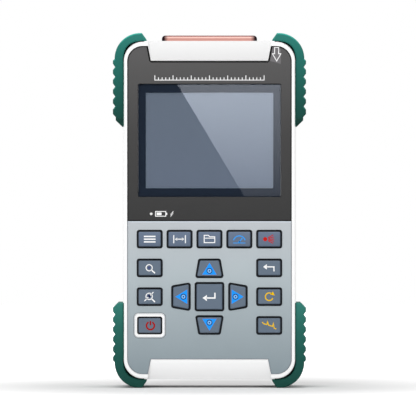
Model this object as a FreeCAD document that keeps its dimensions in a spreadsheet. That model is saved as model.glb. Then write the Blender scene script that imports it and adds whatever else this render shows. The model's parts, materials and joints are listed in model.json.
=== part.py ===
import FreeCAD, Part
import math
import os
import re
import Sketcher
from FreeCAD import Placement, Rotation, Vector

# Handheld optical time domain reflectometer.
# Frame: millimetres, +Z up, the front faces -Y, the origin lies under the middle of the box, on the
# surface that the tester stands on. "Ahead" means a distance from the mid plane towards the front.

# Every size that can be set by itself: name, value in millimetres, meaning.
SIZES = [
    # housing
    ("body_wide", 95.0, "housing across the sides"),
    ("body_low", 4.7, "height of the housing's lower face above the desk"),
    ("body_high", 190.6, "height of the housing's upper face"),
    ("body_round", 10.9, "corner radius of the housing seen from the front"),
    ("rim_ahead", 23.2, "front rim ahead of the mid plane"),
    ("back_deep", 22.4, "back face behind the mid plane"),
    ("parting_ahead", 9.0, "joint line of the two shells ahead of the mid plane"),
    ("wall", 2.4, "wall of both shells"),
    ("rim_round", 1.2, "rounding of the rim's outer edge"),
    ("back_round", 3.0, "rounding round the back face"),
    ("shelf_thick", 1.6, "inner shelf that carries the two front panels"),
    ("seal_wide", 1.0, "width and height of the seal cord between the shells"),
    # sizes that many pieces share
    ("fit", 0.1, "gap all round a piece in its opening"),
    ("screw_slack", 0.4, "screw holes wider than their screws"),
    ("blind_end", 1.0, "screw holes and cuts past the end of what goes in"),
    ("soft_edge", 0.5, "bevel of small moulded edges"),
    ("fine_edge", 0.25, "bevel of the edges in the panels"),
    ("inner_round", 1.0, "corner radius of small openings"),
    ("outer_round", 2.0, "corner radius of blocks and trays"),
    # front panels
    ("panel_gap", 0.15, "gap between a panel and what is round it"),
    ("panel_sunk", 0.5, "panels below the rim"),
    ("panel_thick", 1.5, "both front panels"),
    ("rim_wide", 2.45, "white rim beside the panels"),
    ("rim_tall", 2.95, "white rim above and below the panels"),
    ("panel_round", 8.5, "corner radius of the panels"),
    ("split_drop", 5.95, "joint of the two panels below the housing's middle"),
    # sloping bridges at the top and the bottom
    ("bridge_side", 15.4, "a bridge's inner edge from the housing's sides"),
    ("bridge_spread", 1.61, "how much wider a bridge gets, each side, up to the rim"),
    ("bridge_deep", 11.0, "a bridge from its inner edge to the housing's end"),
    ("bridge_fall", 2.6, "how far a bridge falls back on its way out"),
    ("bridge_bevel", 0.8, "bevel along a bridge's inner edge"),
    # screen
    ("active_wide", 70.08, "visible area across"),
    ("active_tall", 52.56, "visible area in height"),
    ("screen_rise", 0.25, "screen's centre above the middle of the dark panel"),
    ("window_side", 4.21, "window opening beyond the visible area, each side"),
    ("window_end", 4.72, "window opening beyond the visible area, above and below"),
    ("window_sunk", 0.1, "lens below the panel face"),
    ("screen_seal_thick", 0.6, "foam frame between lens and display"),
    ("display_side", 3.41, "display module beyond the visible area, each side"),
    ("display_end", 5.67, "display module beyond the visible area, above and below"),
    ("display_thick", 3.6, "display module"),
    ("display_fit", 0.3, "gap round the display module in the shelf"),
    # keys
    ("key_margin", 5.3, "outer keys from the sides of the panel"),
    ("key_web", 2.5, "panel between two keys, across"),
    ("key_drop", 10.0, "top row of keys below the panels' joint"),
    ("key_last", 34.3, "height of the lowest row of keys"),
    ("key_tall", 9.8, "key opening in height"),
    ("enter_shy", 0.1, "middle key opening less tall than a row"),
    ("enter_extra", 0.2, "middle key opening wider than tall"),
    ("arrow_narrow", 11.9, "arrow key opening on its outer side"),
    ("arrow_broad", 15.4, "arrow key opening on its inner side"),
    ("arrow_shy", 5.5, "arrow key opening less deep than a row"),
    ("arrow_web", 2.55, "panel between the middle key and the arrow keys"),
    ("key_round", 1.2, "corner radius of the key openings"),
    ("key_gap", 0.65, "gap round a key in its opening"),
    ("key_proud", 1.4, "key faces above the panel"),
    ("key_bevel", 0.7, "bevel round a key's face"),
    ("key_travel", 0.8, "key travel"),
    ("key_play", 0.3, "running gap before and behind a key"),
    ("key_lip", 0.8, "retaining lip beyond the opening"),
    ("key_lip_thick", 1.0, "retaining lip"),
    ("lip_room", 0.6, "gap round the retaining lips in the shelf"),
    ("stem_wide", 4.4, "diameter of a key's stem"),
    ("dome_wide", 5.0, "diameter of a contact dome"),
    ("dome_rise", 0.3, "contact dome above its sheet"),
    ("dome_room", 1.0, "gap round a dome in the silicone mat"),
    ("dome_sheet_thick", 0.3, "sheet that carries the contact domes"),
    ("mat_thick", 1.2, "silicone mat round the domes"),
    ("ring_side", 1.6, "raised frame round the power key, beside the key"),
    ("ring_end", 1.85, "that frame above and below the key"),
    ("ring_round", 2.4, "corner radius of that frame"),
    ("ring_proud", 0.4, "that frame above the panel"),
    ("ring_sunk", 0.3, "seat of that frame in the panel"),
    # charge light
    ("light_wide", 1.8, "diameter of the light's hole"),
    ("light_in", 15.5, "light from the housing's left side"),
    ("light_rise", 3.9, "light above the panels' joint"),
    ("light_fit", 0.03, "gap round the light in its hole"),
    ("light_sunk", 0.15, "light below the panel face"),
    # boards and modules
    ("board_thick", 1.6, "main board"),
    ("board_edge", 2.0, "gap between the main board and the side walls"),
    ("board_low", 18.6, "main board's lower edge"),
    ("board_past", 4.4, "main board above its top screws"),
    ("board_screw_in", 9.5, "board screws from the housing's sides"),
    ("board_screw_low", 22.6, "lowest board screws"),
    ("board_screw_below", 7.95, "middle board screws below the display"),
    ("board_screw_above", 4.75, "top board screws above the display"),
    ("board_boss", 6.0, "diameter of the board's bosses"),
    ("case_screw_edge", 8.0, "case screws from the housing's sides"),
    ("case_screw_in", 9.3, "case screws from the housing's ends"),
    ("case_boss", 7.0, "diameter of the case bosses"),
    ("boss_step", 1.0, "rear case bosses wider than the front ones"),
    ("shield_wide", 36.0, "shielding can across"),
    ("shield_low", 30.0, "shielding can's lower end"),
    ("shield_tall", 32.0, "shielding can in height"),
    ("shield_deep", 3.0, "shielding can from front to back"),
    ("optics_side", 15.5, "measuring module from the housing's sides"),
    ("optics_tall", 50.0, "measuring module in height"),
    ("optics_deep", 13.0, "measuring module from front to back"),
    ("optics_round", 3.0, "corner radius of the measuring module"),
    ("lid_in", 2.0, "lid groove from the measuring module's edge"),
    ("lid_groove", 1.0, "width of the lid groove"),
    ("lid_groove_deep", 0.8, "depth of the lid groove"),
    ("tray_deep", 5.0, "fibre tray"),
    ("tray_wall", 1.5, "fibre tray's wall"),
    ("tray_floor", 1.0, "fibre tray's floor"),
    ("coil_in", 4.8, "stored fibre's coil from the tray's outer face"),
    ("coil_wide", 2.4, "stored fibre's coil from its inner to its outer side"),
    ("coil_thick", 2.4, "stored fibre's coil in depth"),
    # battery bay at the back
    ("cell_wide", 18.4, "diameter of a battery cell"),
    ("cell_long", 66.0, "length of a battery cell"),
    ("cell_side", 1.9, "cells from the sides of the bay"),
    ("cell_end", 0.8, "cells from the ends of the bay"),
    ("cell_seam", 0.5, "flat between the rounded edge and the side of the battery pack"),
    ("valley_half", 3.5, "half the mouth of a valley between two cells"),
    ("valley_deep", 3.0, "depth of a valley between two cells"),
    ("bay_low", 16.0, "battery bay's lower end"),
    ("bay_wall", 1.6, "bay floor"),
    ("ledge", 5.0, "ledge round the bay that the door lies on"),
    ("door_thick", 2.2, "battery door"),
    ("door_fit", 0.25, "gap round the battery door"),
    ("door_round", 3.0, "corner radius of the battery door"),
    ("groove_half", 12.0, "half the length of the grip grooves in the door"),
    ("groove_pitch", 2.4, "grip grooves from each other"),
    ("groove_tall", 1.2, "width of a grip groove"),
    ("groove_deep", 0.8, "depth of a grip groove"),
    ("groove_drop", 6.0, "first grip groove below the bay's upper end"),
    ("contact_wide", 18.0, "battery contact block across"),
    ("contact_tall", 5.0, "battery contact block in height"),
    ("contact_drop", 3.0, "contact block below the bay's upper end"),
    ("contact_fit", 0.3, "gap round the contact block"),
    # port bay at the top
    ("port_wide", 53.0, "port tray across"),
    ("port_front", -6.8, "port tray's front face"),
    ("port_back", 14.6, "port tray's back face"),
    ("port_deep", 18.0, "port tray below the housing's upper face"),
    ("port_wall", 1.5, "port tray's walls"),
    ("port_lip", 2.0, "port tray's flange under the wall"),
    ("port_lip_thick", 1.6, "thickness of that flange"),
    ("port_pitch", 16.0, "ports from each other"),
    ("port_mid", 4.0, "ports behind the mid plane"),
    ("ferrule", 2.5, "bore for a standard ferrule"),
    ("sleeve_wide", 3.3, "outer diameter of the ceramic sleeve"),
    ("sleeve_long", 17.0, "length of the ceramic sleeve"),
    ("sleeve_sunk", 0.4, "ceramic sleeve below the adapter's end"),
    ("adapter_wide", 8.0, "threaded barrel of the test port"),
    ("adapter_bore", 6.0, "hollow of the threaded barrel"),
    ("adapter_seat", 3.0, "floor of that hollow above the tray"),
    ("adapter_slot", 2.0, "key slot of the threaded barrel across"),
    ("adapter_slot_deep", 3.0, "key slot of the threaded barrel in depth"),
    ("adapter_tall", 11.0, "adapters above the tray's floor"),
    ("adapter_flange", 13.0, "flange diameter of the adapters"),
    ("adapter_flange_thick", 1.4, "flange of the adapters"),
    ("adapter_below", 8.0, "adapters below the tray"),
    ("meter_wide", 10.0, "barrel of the meter port"),
    ("light_port_wide", 9.0, "barrel of the red light port"),
    # hinged dust cover over the ports
    ("cover_wide", 52.5, "dust cover across"),
    ("cover_front", -8.2, "dust cover's front face"),
    ("cover_back", 15.3, "dust cover's rear face"),
    ("cover_rise", 3.4, "dust cover's upper face above the housing"),
    ("cover_round", 1.9, "rounding of the dust cover's upper ends"),
    ("cover_wall", 1.3, "dust cover's wall"),
    ("cover_gap", 0.3, "dust cover above the housing"),
    ("cover_knuckle", 30.0, "dust cover's knuckle, across"),
    ("cover_pin_back", 17.6, "hinge pin of the dust cover behind the mid plane"),
    ("cover_pin", 1.6, "hinge pin of the dust cover"),
    ("knuckle_wide", 3.0, "knuckle of the dust cover"),
    ("web_half", 0.7, "half the thickness of the web between cover and knuckle"),
    ("ear_wide", 4.0, "each ear of that hinge"),
    ("ear_round", 1.5, "rounding of the ears"),
    ("ear_wall", 0.1, "ears beyond the knuckle's running gap"),
    ("hinge_play", 0.05, "radial clearance of both hinges"),
    ("side_play", 0.3, "end clearance of both hinges"),
    # stand at the back
    ("stand_wide", 56.0, "stand across"),
    ("stand_low", 99.0, "stand's free end"),
    ("stand_pin_drop", 24.6, "stand's hinge pin below the housing's upper face"),
    ("stand_thick", 2.2, "stand's plate"),
    ("stand_sunk", 0.1, "stand below the back face"),
    ("stand_barrel", 3.4, "stand's hinge barrel"),
    ("stand_pin", 1.8, "stand's hinge pin"),
    ("stand_pin_end", 1.4, "hinge pin's seat in each side of the recess"),
    ("stand_gap", 0.4, "gap round the stand in its recess"),
    ("stand_swing", 1.5, "hinge pocket below the stand's barrel"),
    ("stand_floor", 1.6, "wall behind the stand's recess"),
    ("stand_round", 4.0, "corner radius of the stand's free end"),
    ("stand_frame", 7.0, "raised border of the stand's plate"),
    ("stand_panel_deep", 0.7, "stand's plate inside that border below it"),
    ("scoop_wide", 16.0, "finger scoop under the stand, across"),
    ("scoop_tall", 6.0, "finger scoop below the stand's free end"),
    ("scoop_over", 4.0, "finger scoop above the stand's free end"),
    # side sockets
    ("socket_high", 112.0, "height of the upper side socket"),
    ("socket_step", 16.0, "side sockets from each other"),
    ("socket_back", 4.0, "side sockets behind the mid plane"),
    ("socket_wide", 9.0, "sockets across"),
    ("socket_long", 12.0, "sockets from the outer face inwards"),
    ("socket_sunk", 0.2, "mouths of the sockets below the housing's side"),
    ("jack_hole", 6.3, "mouth of the charging socket"),
    ("jack_deep", 9.0, "depth of the charging socket"),
    ("jack_nose", 7.8, "nose of the charging socket in the wall"),
    ("jack_pin", 2.0, "centre pin of the charging socket"),
    ("data_wide", 7.6, "mouth of the data socket across"),
    ("data_tall", 3.2, "mouth of the data socket in height"),
    ("data_long", 10.0, "length of the data socket"),
    ("data_deep", 8.0, "depth of the data socket"),
    ("data_wall", 0.5, "sheet metal of the data socket"),
    ("socket_board_thick", 1.6, "board behind the side sockets"),
    ("socket_board_end", 8.0, "that board beyond the sockets, above and below"),
    # corner bumpers
    ("bumper_out", 4.6, "outer side of the bumpers beyond the housing's sides"),
    ("bumper_over", 4.3, "top of the upper bumpers above the housing"),
    ("bumper_round", 14.0, "outer corner radius of the bumpers"),
    ("bumper_inner_round", 7.6, "inner corner radius of the bumpers"),
    ("bumper_shy", 0.5, "front of the bumpers behind the rim"),
    ("bumper_rear_shy", 0.8, "rear of the bumpers ahead of the back face"),
    ("bumper_seat", 0.5, "bumpers let into the housing"),
    ("bumper_along", 12.9, "bumpers along the housing's ends"),
    ("bumper_end_slant", 3.5, "slanting part of the bumpers' inner ends, in height"),
    ("bumper_bevel", 0.6, "bevel of the bumpers' long edges"),
    ("rib_proud", 0.95, "rib crests beyond the bumpers' outer side"),
    ("rib_lead", 0.2, "flat between the rounded corner and the first rib"),
    ("end_flat", 1.0, "flat between the rounded corner and the bumpers' inner ends"),
    ("rib_pitch", 5.42, "ribs from each other"),
    ("rib_half_notch", 1.7, "half the mouth of a notch between ribs"),
    ("rib_notch", 1.25, "depth of a notch between ribs"),
    ("first_notch", 18.6, "first notch from the bumpers' rounded end"),
    ("upper_front_end", 46.7, "front face of the upper bumpers, in height"),
    ("upper_long", 51.4, "upper bumpers in height"),
    ("upper_end_deep", 6.0, "depth of the slope under the upper bumpers"),
    ("upper_rib_end", 2.2, "last rib above the front face's end"),
    ("upper_end_in", 0.6, "lower end of the upper bumpers within their outer side"),
    ("upper_end_cut", 3.4, "slanting outer corner of that end, in height"),
    ("upper_end_foot", 1.0, "width of that end's lowest face"),
    ("lower_long", 46.7, "lower bumpers in height"),
    ("lower_end_cut", 2.6, "slanting outer corner of the lower bumpers' upper end"),
    # screws and feet
    ("screw_wide", 3.0, "case screws"),
    ("screw_head_wide", 5.4, "heads of the case screws"),
    ("screw_head_tall", 2.6, "heads of the case screws"),
    ("screw_grip", 11.0, "rear boss between a case screw's head and the joint line"),
    ("screw_bite", 7.0, "case screws in the front shell"),
    ("small_screw_bite", 2.4, "board screws in their bosses"),
    ("small_blind_end", 0.2, "board screw holes past the end of the screws"),
    ("door_screw_bite", 5.0, "door screws in the rear shell"),
    ("small_screw_wide", 2.0, "board and door screws"),
    ("small_head_wide", 3.8, "heads of the board and door screws"),
    ("small_head_tall", 1.4, "heads of the board and door screws"),
    ("foot_wide", 8.0, "rubber feet on the back"),
    ("foot_proud", 1.7, "rubber feet above the back face"),
    ("foot_sunk", 0.8, "seat of the rubber feet"),
]

# Counts.
RIB_NOTCHES = 5
GRIP_GROOVES = 5
CELLS = 3

doc = FreeCAD.newDocument("reflectometer")
sheet = doc.addObject("Spreadsheet::Sheet", "dims")
for row, (alias, size, meaning) in enumerate(SIZES, start=1):
    sheet.set(f"A{row}", alias)
    sheet.set(f"B{row}", str(size))
    sheet.setAlias(f"B{row}", alias)
    sheet.set(f"C{row}", meaning)
doc.recompute()

ALIASES = {alias for alias, _, _ in SIZES}
WORD = re.compile(r"[a-z][a-z_]*")

# Places that several sub-parts share, written with the sizes above.
PANEL_HALF = "(body_wide/2 - rim_wide)"
PANEL_LOW = "(body_low + rim_tall)"
PANEL_HIGH = "(body_high - rim_tall)"
PANEL_FACE = "(rim_ahead - panel_sunk)"
PANEL_BACK = "(rim_ahead - panel_sunk - panel_thick)"
PANEL_SPLIT = "((body_low + body_high)/2 - split_drop)"
SHELF_BACK = f"({PANEL_BACK} - shelf_thick)"
UPPER_EDGE = "(body_high - bridge_deep)"
LOWER_EDGE = "(body_low + bridge_deep)"
BRIDGE_HALF = "(body_wide/2 - bridge_side)"
BRIDGE_REACH = f"({BRIDGE_HALF} + bridge_spread)"
SCREEN_MID = f"(({PANEL_SPLIT} + {UPPER_EDGE})/2 + screen_rise)"
WINDOW_HALF = "(active_wide/2 + window_side)"
WINDOW_RISE = "(active_tall/2 + window_end)"
DISPLAY_HALF = "(active_wide/2 + display_side)"
DISPLAY_RISE = "(active_tall/2 + display_end)"
DISPLAY_FRONT = f"({PANEL_BACK} - screen_seal_thick)"
LIGHT_SIDE = "(body_wide/2 - light_in)"
LIGHT_HIGH = f"({PANEL_SPLIT} + light_rise)"
BOARD_FRONT = f"({DISPLAY_FRONT} - display_thick)"
BOARD_BACK = f"({BOARD_FRONT} - board_thick)"
BOARD_SCREW_SIDE = "(body_wide/2 - board_screw_in)"
BOARD_SCREW_MID = f"({SCREEN_MID} - {DISPLAY_RISE} - board_screw_below)"
BOARD_SCREW_TOP = f"({SCREEN_MID} + {DISPLAY_RISE} + board_screw_above)"
DOME_TOP = f"({BOARD_FRONT} + dome_sheet_thick + dome_rise)"
KEY_WIDE = f"((2*{PANEL_HALF} - 2*key_margin - 4*key_web)/5)"
KEY_COLUMN = f"({KEY_WIDE} + key_web)"
KEY_FIRST = f"({PANEL_SPLIT} - key_drop)"
KEY_ROW = f"(({KEY_FIRST} - key_last)/3)"
KEY_MID = f"(key_last + {KEY_ROW})"
KEY_LIP_FRONT = f"({PANEL_BACK} - key_play)"
KEY_LIP_BACK = f"({KEY_LIP_FRONT} - key_lip_thick)"
KEY_FACE = f"({PANEL_FACE} + key_proud)"
KEYS_HALF = f"({PANEL_HALF} - key_margin)"
KEYS_LOW = "(key_last - key_tall/2)"
KEYS_HIGH = f"({KEY_FIRST} + key_tall/2)"
ENTER_TALL = f"({KEY_ROW} - enter_shy)"
ENTER_WIDE = f"({ENTER_TALL} + enter_extra)"
ARROW_DEEP = f"({KEY_ROW} - arrow_shy)"
ARROW_UP = f"({ENTER_TALL}/2 + arrow_web + {ARROW_DEEP}/2)"
ARROW_SIDE = f"({ENTER_WIDE}/2 + arrow_web + {ARROW_DEEP}/2)"
RING_HALF = f"({KEY_WIDE}/2 + ring_side)"
RING_RISE = "(key_tall/2 + ring_end)"
CASE_SCREW_SIDE = "(body_wide/2 - case_screw_edge)"
CASE_SCREW_LOW = "(body_low + case_screw_in)"
CASE_SCREW_HIGH = "(body_high - case_screw_in)"
SCREW_SEAT = "(parting_ahead - screw_grip)"
INNER_BACK = "(back_deep - wall)"
BAY_HALF = f"({CELLS}*cell_wide/2 + cell_side)"
BAY_HIGH = "(bay_low + cell_long + 2*cell_end)"
BAY_FLOOR = "(back_deep - door_thick - cell_wide)"
DOOR_HALF = f"({BAY_HALF} + ledge/2)"
PORT_FLOOR = "(body_high - port_deep)"
OPTICS_HALF = "(body_wide/2 - optics_side)"
OPTICS_BACK = f"({BOARD_BACK} - optics_deep)"
OPTICS_MID = f"(({BAY_HIGH} + ledge + bay_wall + {PORT_FLOOR} - adapter_below)/2)"
OPTICS_LOW = f"({OPTICS_MID} - optics_tall/2)"
OPTICS_HIGH = f"({OPTICS_MID} + optics_tall/2)"
COVER_LOW = "(body_high + cover_gap)"
COVER_HIGH = "(body_high + cover_rise)"
COVER_PIN_HIGH = f"({COVER_LOW} + knuckle_wide/2)"
STAND_PIN_HIGH = "(body_high - stand_pin_drop)"
STAND_PIN_BACK = "(back_deep - 2*stand_sunk - stand_barrel/2)"
STAND_BACK = "(back_deep - stand_sunk)"
RECESS_FLOOR = f"({STAND_BACK} - stand_thick - stand_gap)"
HINGE_FLOOR = f"({STAND_PIN_BACK} - stand_barrel/2 - stand_gap)"
SOCKET_FACE = "(socket_back - socket_wide/2)"
SOCKET_MOUTH = "(socket_sunk - body_wide/2)"
DATA_HIGH = "(socket_high - socket_step)"
BUMPER_AHEAD = "(rim_ahead - bumper_shy)"
BUMPER_BACK = "(back_deep - bumper_rear_shy)"
BUMPER_SIDE = "(body_wide/2 + bumper_out)"
BUMPER_CREST = f"({BUMPER_SIDE} + rib_proud)"
BUMPER_INNER = "(body_wide/2 - bumper_seat)"
BUMPER_END = "(body_wide/2 - bumper_along)"
BUMPER_HIGH = "(body_high + bumper_over)"


def ref(text):
    """The same formula, written for FreeCAD's expression engine."""
    def name(match):
        word = match.group(0)
        return "dims." + word if word in ALIASES else word
    return WORD.sub(name, str(text))


def size(text):
    """The present value of a formula."""
    return float(sheet.evalExpression(ref(text)))


def minus(text):
    return f"-({text})"


class Piece:
    """One sub-part: a PartDesign body with the few steps that the pieces here are made of."""

    def __init__(self, label, at=("0", "0", "0")):
        self.body = doc.addObject("PartDesign::Body", label)
        self.body.Label = label
        for axis, place in zip("xyz", at):
            self.body.setExpression(f"Placement.Base.{axis}", ref(place))
        self.count = 0

    def name(self, what):
        self.count += 1
        return f"{self.body.Label}_{what}_{self.count}"

    def sketch(self, plane, offset="0", tilt=None, rise="0"):
        """A sketch on an origin plane: "XZ" faces the front, "YZ" the right, "XY" the top."""
        sk = self.body.newObject("Sketcher::SketchObject", self.name("sketch"))
        face = [f for f in self.body.Origin.OriginFeatures if f.Role == plane + "_Plane"][0]
        sk.AttachmentSupport = (face, [""])
        sk.MapMode = "FlatFace"
        if tilt is not None:
            sk.AttachmentOffset = Placement(Vector(), Rotation(Vector(1, 0, 0), size(tilt)))
            sk.setExpression("AttachmentOffset.Rotation.Angle", ref(tilt))
            sk.setExpression("AttachmentOffset.Base.y", ref(rise))
        sk.setExpression("AttachmentOffset.Base.z", ref(offset))
        return sk

    def step(self, kind, sk, length, back=False, middle=False):
        """A pad or a pocket; it must change the body's volume."""
        before = self.body.Shape.Volume if self.body.Tip else 0.0
        feature = self.body.newObject("PartDesign::" + kind, self.name(kind.lower()))
        feature.Profile = sk
        feature.setExpression("Length", ref(length))
        feature.Reversed = back
        if middle:
            feature.Midplane = True
        doc.recompute()
        if abs(self.body.Shape.Volume - before) < 1e-6:
            raise ValueError(feature.Name + " changes nothing")
        return feature

    def pad(self, sk, length, back=False, middle=False):
        return self.step("Pad", sk, length, back, middle)

    def pocket(self, sk, length, back=False, middle=False):
        return self.step("Pocket", sk, length, back, middle)

    def turn(self, kind, sk):
        """A revolution or a groove about the sketch's vertical axis."""
        feature = self.body.newObject("PartDesign::" + kind, self.name(kind.lower()))
        feature.Profile = sk
        feature.ReferenceAxis = (sk, ["V_Axis"])
        feature.Angle = 360
        doc.recompute()
        if "Invalid" in feature.State:
            raise ValueError(feature.Name + " is not built")
        return feature

    def dress(self, kind, width, pick):
        """A fillet or a chamfer on the edges whose ends and middle pass the test."""
        base = self.body.Tip
        edges = []
        for number, edge in enumerate(base.Shape.Edges, start=1):
            middle = edge.valueAt((edge.FirstParameter + edge.LastParameter) / 2)
            points = [vertex.Point for vertex in edge.Vertexes] + [middle]
            if all(pick(point) for point in points):
                edges.append(f"Edge{number}")
        if not edges:
            raise ValueError(f"{self.body.Label} has no edge to {kind.lower()}")
        feature = self.body.newObject("PartDesign::" + kind, self.name(kind.lower()))
        feature.Base = (base, edges)
        feature.setExpression("Radius" if kind == "Fillet" else "Size", ref(width))
        doc.recompute()
        if "Invalid" in feature.State:
            raise ValueError(feature.Name + " is not built")
        return feature

    def fillet(self, radius, pick):
        return self.dress("Fillet", radius, pick)

    def chamfer(self, width, pick):
        return self.dress("Chamfer", width, pick)


def near(value, text, slack=0.01):
    return abs(value - size(text)) < slack


def constrain(sk, rules):
    """Adds the constraints together; a rule is a kind, its ends and, for a dimension, its formula."""
    constraints = [Sketcher.Constraint(kind, *ends, size(text)) if text else Sketcher.Constraint(kind, *ends)
                   for kind, ends, text in rules]
    numbers = sk.addConstraint(constraints)
    for number, (_, _, text) in zip(numbers, rules):
        if text:
            sk.setExpression(f"Constraints[{number}]", ref(text))


def fixed(geometry, place, across, up):
    """Rules that hold a point of the sketch at (across, up)."""
    rules = []
    for kind, text, axis in (("DistanceX", across, -2), ("DistanceY", up, -1)):
        if abs(size(text)) < 1e-9:
            rules.append(("PointOnObject", (geometry, place, axis), None))
        else:
            rules.append((kind, (-1, 1, geometry, place), text))
    return rules


def outline(sk, corners):
    """A closed outline through (across, up) corners; a third entry rounds the corner."""
    count = len(corners)
    points = [Vector(size(c[0]), size(c[1]), 0) for c in corners]
    rounds = [c[2] if len(c) > 2 else None for c in corners]
    starts, ends, arcs = list(points), list(points), {}
    for i, point in enumerate(points):
        if rounds[i] is None:
            continue
        before = (points[i - 1] - point).normalize()
        after = (points[(i + 1) % count] - point).normalize()
        radius = size(rounds[i])
        half = before.getAngle(after) / 2
        ends[i] = point + before * (radius / math.tan(half))
        starts[i] = point + after * (radius / math.tan(half))
        centre = point + (before + after).normalize() * (radius / math.sin(half))
        left = before.cross(after).z < 0
        first, last = (ends[i], starts[i]) if left else (starts[i], ends[i])
        ring = Part.Circle(centre, Vector(0, 0, 1), radius)
        arcs[i] = (Part.ArcOfCircle(ring, ring.parameter(first), ring.parameter(last)), left)
    lines = sk.addGeometry([Part.LineSegment(starts[i], ends[(i + 1) % count]) for i in range(count)], False)
    bends = dict(zip(arcs, sk.addGeometry([arc for arc, _ in arcs.values()], False))) if arcs else {}
    tips = dict(zip(arcs, sk.addGeometry([Part.Point(points[i]) for i in arcs], True))) if arcs else {}
    rules = []
    for i in range(count):
        inward, outward = lines[i - 1], lines[i]
        if i not in arcs:
            rules.append(("Coincident", (inward, 2, outward, 1), None))
            rules += fixed(outward, 1, corners[i][0], corners[i][1])
            continue
        rules += fixed(tips[i], 1, corners[i][0], corners[i][1])
        head, tail = (1, 2) if arcs[i][1] else (2, 1)
        rules += [("PointOnObject", (tips[i], 1, line), None) for line in (inward, outward)]
        rules += [("Tangent", (inward, 2, bends[i], head), None),
                  ("Tangent", (bends[i], tail, outward, 1), None), ("Radius", (bends[i],), rounds[i])]
    constrain(sk, rules)


def rectangle(sk, low_x, low_z, high_x, high_z, radius=None):
    corners = [(low_x, low_z), (high_x, low_z), (high_x, high_z), (low_x, high_z)]
    outline(sk, [c + ((radius,) if radius else ()) for c in corners])


def block(sk, half_wide, low, high, radius=None):
    """A rectangle with its sides the same distance from the middle."""
    rectangle(sk, minus(half_wide), low, half_wide, high, radius)


def circle(sk, across, up, wide):
    number = sk.addGeometry(Part.Circle(Vector(size(across), size(up), 0), Vector(0, 0, 1), size(wide) / 2))
    constrain(sk, [("Radius", (number,), f"({wide})/2")] + fixed(number, 3, across, up))


def four_corners(side, low, high):
    return [(x, z) for x in (side, minus(side)) for z in (low, high)]


BOARD_SCREWS = [(x, z) for x in (BOARD_SCREW_SIDE, minus(BOARD_SCREW_SIDE))
                for z in ("board_screw_low", BOARD_SCREW_MID, BOARD_SCREW_TOP)]
CASE_SCREWS = four_corners(CASE_SCREW_SIDE, CASE_SCREW_LOW, CASE_SCREW_HIGH)
DOOR_SCREWS = four_corners(f"{BAY_HALF} - ledge", "bay_low - ledge/2", BAY_HIGH + " + ledge/2")
BUMPERS = [(side, upper) for upper in (True, False) for side in ("left", "right")]


def housing_outline(sk, inset="0"):
    block(sk, f"body_wide/2 - {inset}", f"body_low + {inset}", f"body_high - {inset}",
          f"body_round - {inset}")


def bridge_corners(edge, end, sign, gap="0"):
    """The four corners where a panel is cut out for a bridge, from left to right at the upper end."""
    reach = f"{BRIDGE_REACH} + {gap}"
    inner = f"{BRIDGE_HALF} + {gap}"
    shift = minus(gap) if sign > 0 else gap
    return [(minus(reach), end), (minus(inner), f"{edge} + {shift}"),
            (inner, f"{edge} + {shift}"), (reach, end)]


def bumper_corners(upper):
    """A right bumper's cross-section: a quarter round corner, ribs along the side and an end."""
    inwards = "-1" if upper else "1"
    outer = BUMPER_HIGH if upper else "0"
    seat = f"({'body_high' if upper else 'body_low'} + {inwards}*bumper_seat)"
    notch = f"({BUMPER_CREST} - rib_notch)"

    def along(distance):
        return f"{outer} + {inwards}*({distance})"

    corners = [(BUMPER_INNER, seat, "bumper_inner_round"), (BUMPER_END, seat),
               (BUMPER_END, along("bumper_end_slant")), (f"{BUMPER_SIDE} - bumper_round - end_flat", outer),
               (BUMPER_SIDE, outer, "bumper_round"), (BUMPER_SIDE, along("bumper_round + rib_lead")),
               (BUMPER_CREST, along("bumper_round + rib_lead + rib_proud"))]
    for number in range(RIB_NOTCHES):
        middle = f"first_notch + {number}*rib_pitch"
        corners += [(BUMPER_CREST, along(f"{middle} - rib_half_notch")), (notch, along(middle)),
                    (BUMPER_CREST, along(f"{middle} + rib_half_notch"))]
    if upper:
        end = f"{BUMPER_SIDE} - upper_end_in"
        return corners + [(BUMPER_CREST, along("upper_front_end - upper_rib_end")),
                          (end, along("upper_front_end - bumper_seat")),
                          (end, along("upper_long - upper_end_cut")),
                          (f"{BUMPER_INNER} + upper_end_foot", along("upper_long")),
                          (BUMPER_INNER, along("upper_long"))]
    return corners + [(BUMPER_CREST, along("lower_long - lower_end_cut")),
                      (f"{BUMPER_CREST} - lower_end_cut", along("lower_long")),
                      (BUMPER_INNER, along("lower_long"))]


def make_bumper(side, upper):
    piece = Piece(f"bumper_{'upper' if upper else 'lower'}_{side}")
    sk = piece.sketch("XZ", minus(BUMPER_BACK))
    sign = -1 if side == "left" else 1
    outline(sk, [(f"{sign}*({corner[0]})",) + corner[1:] for corner in bumper_corners(upper)])
    piece.pad(sk, f"{BUMPER_AHEAD} + {BUMPER_BACK}")
    piece.chamfer("bumper_bevel", lambda p: near(-p.y, BUMPER_AHEAD) or near(p.y, BUMPER_BACK))
    if upper:
        low, high = f"{BUMPER_HIGH} - upper_long", f"{BUMPER_HIGH} - upper_front_end"
        face, ahead = minus(BUMPER_AHEAD), f"-{BUMPER_AHEAD} - blind_end"
        slope = piece.sketch("YZ")
        outline(slope, [(ahead, f"{low} - blind_end"), (f"upper_end_deep + {face}", f"{low} - blind_end"),
                        (f"upper_end_deep + {face}", low), (face, high), (ahead, high)])
        piece.pocket(slope, f"{BUMPER_CREST} + blind_end", back=sign > 0)
    return piece


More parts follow.
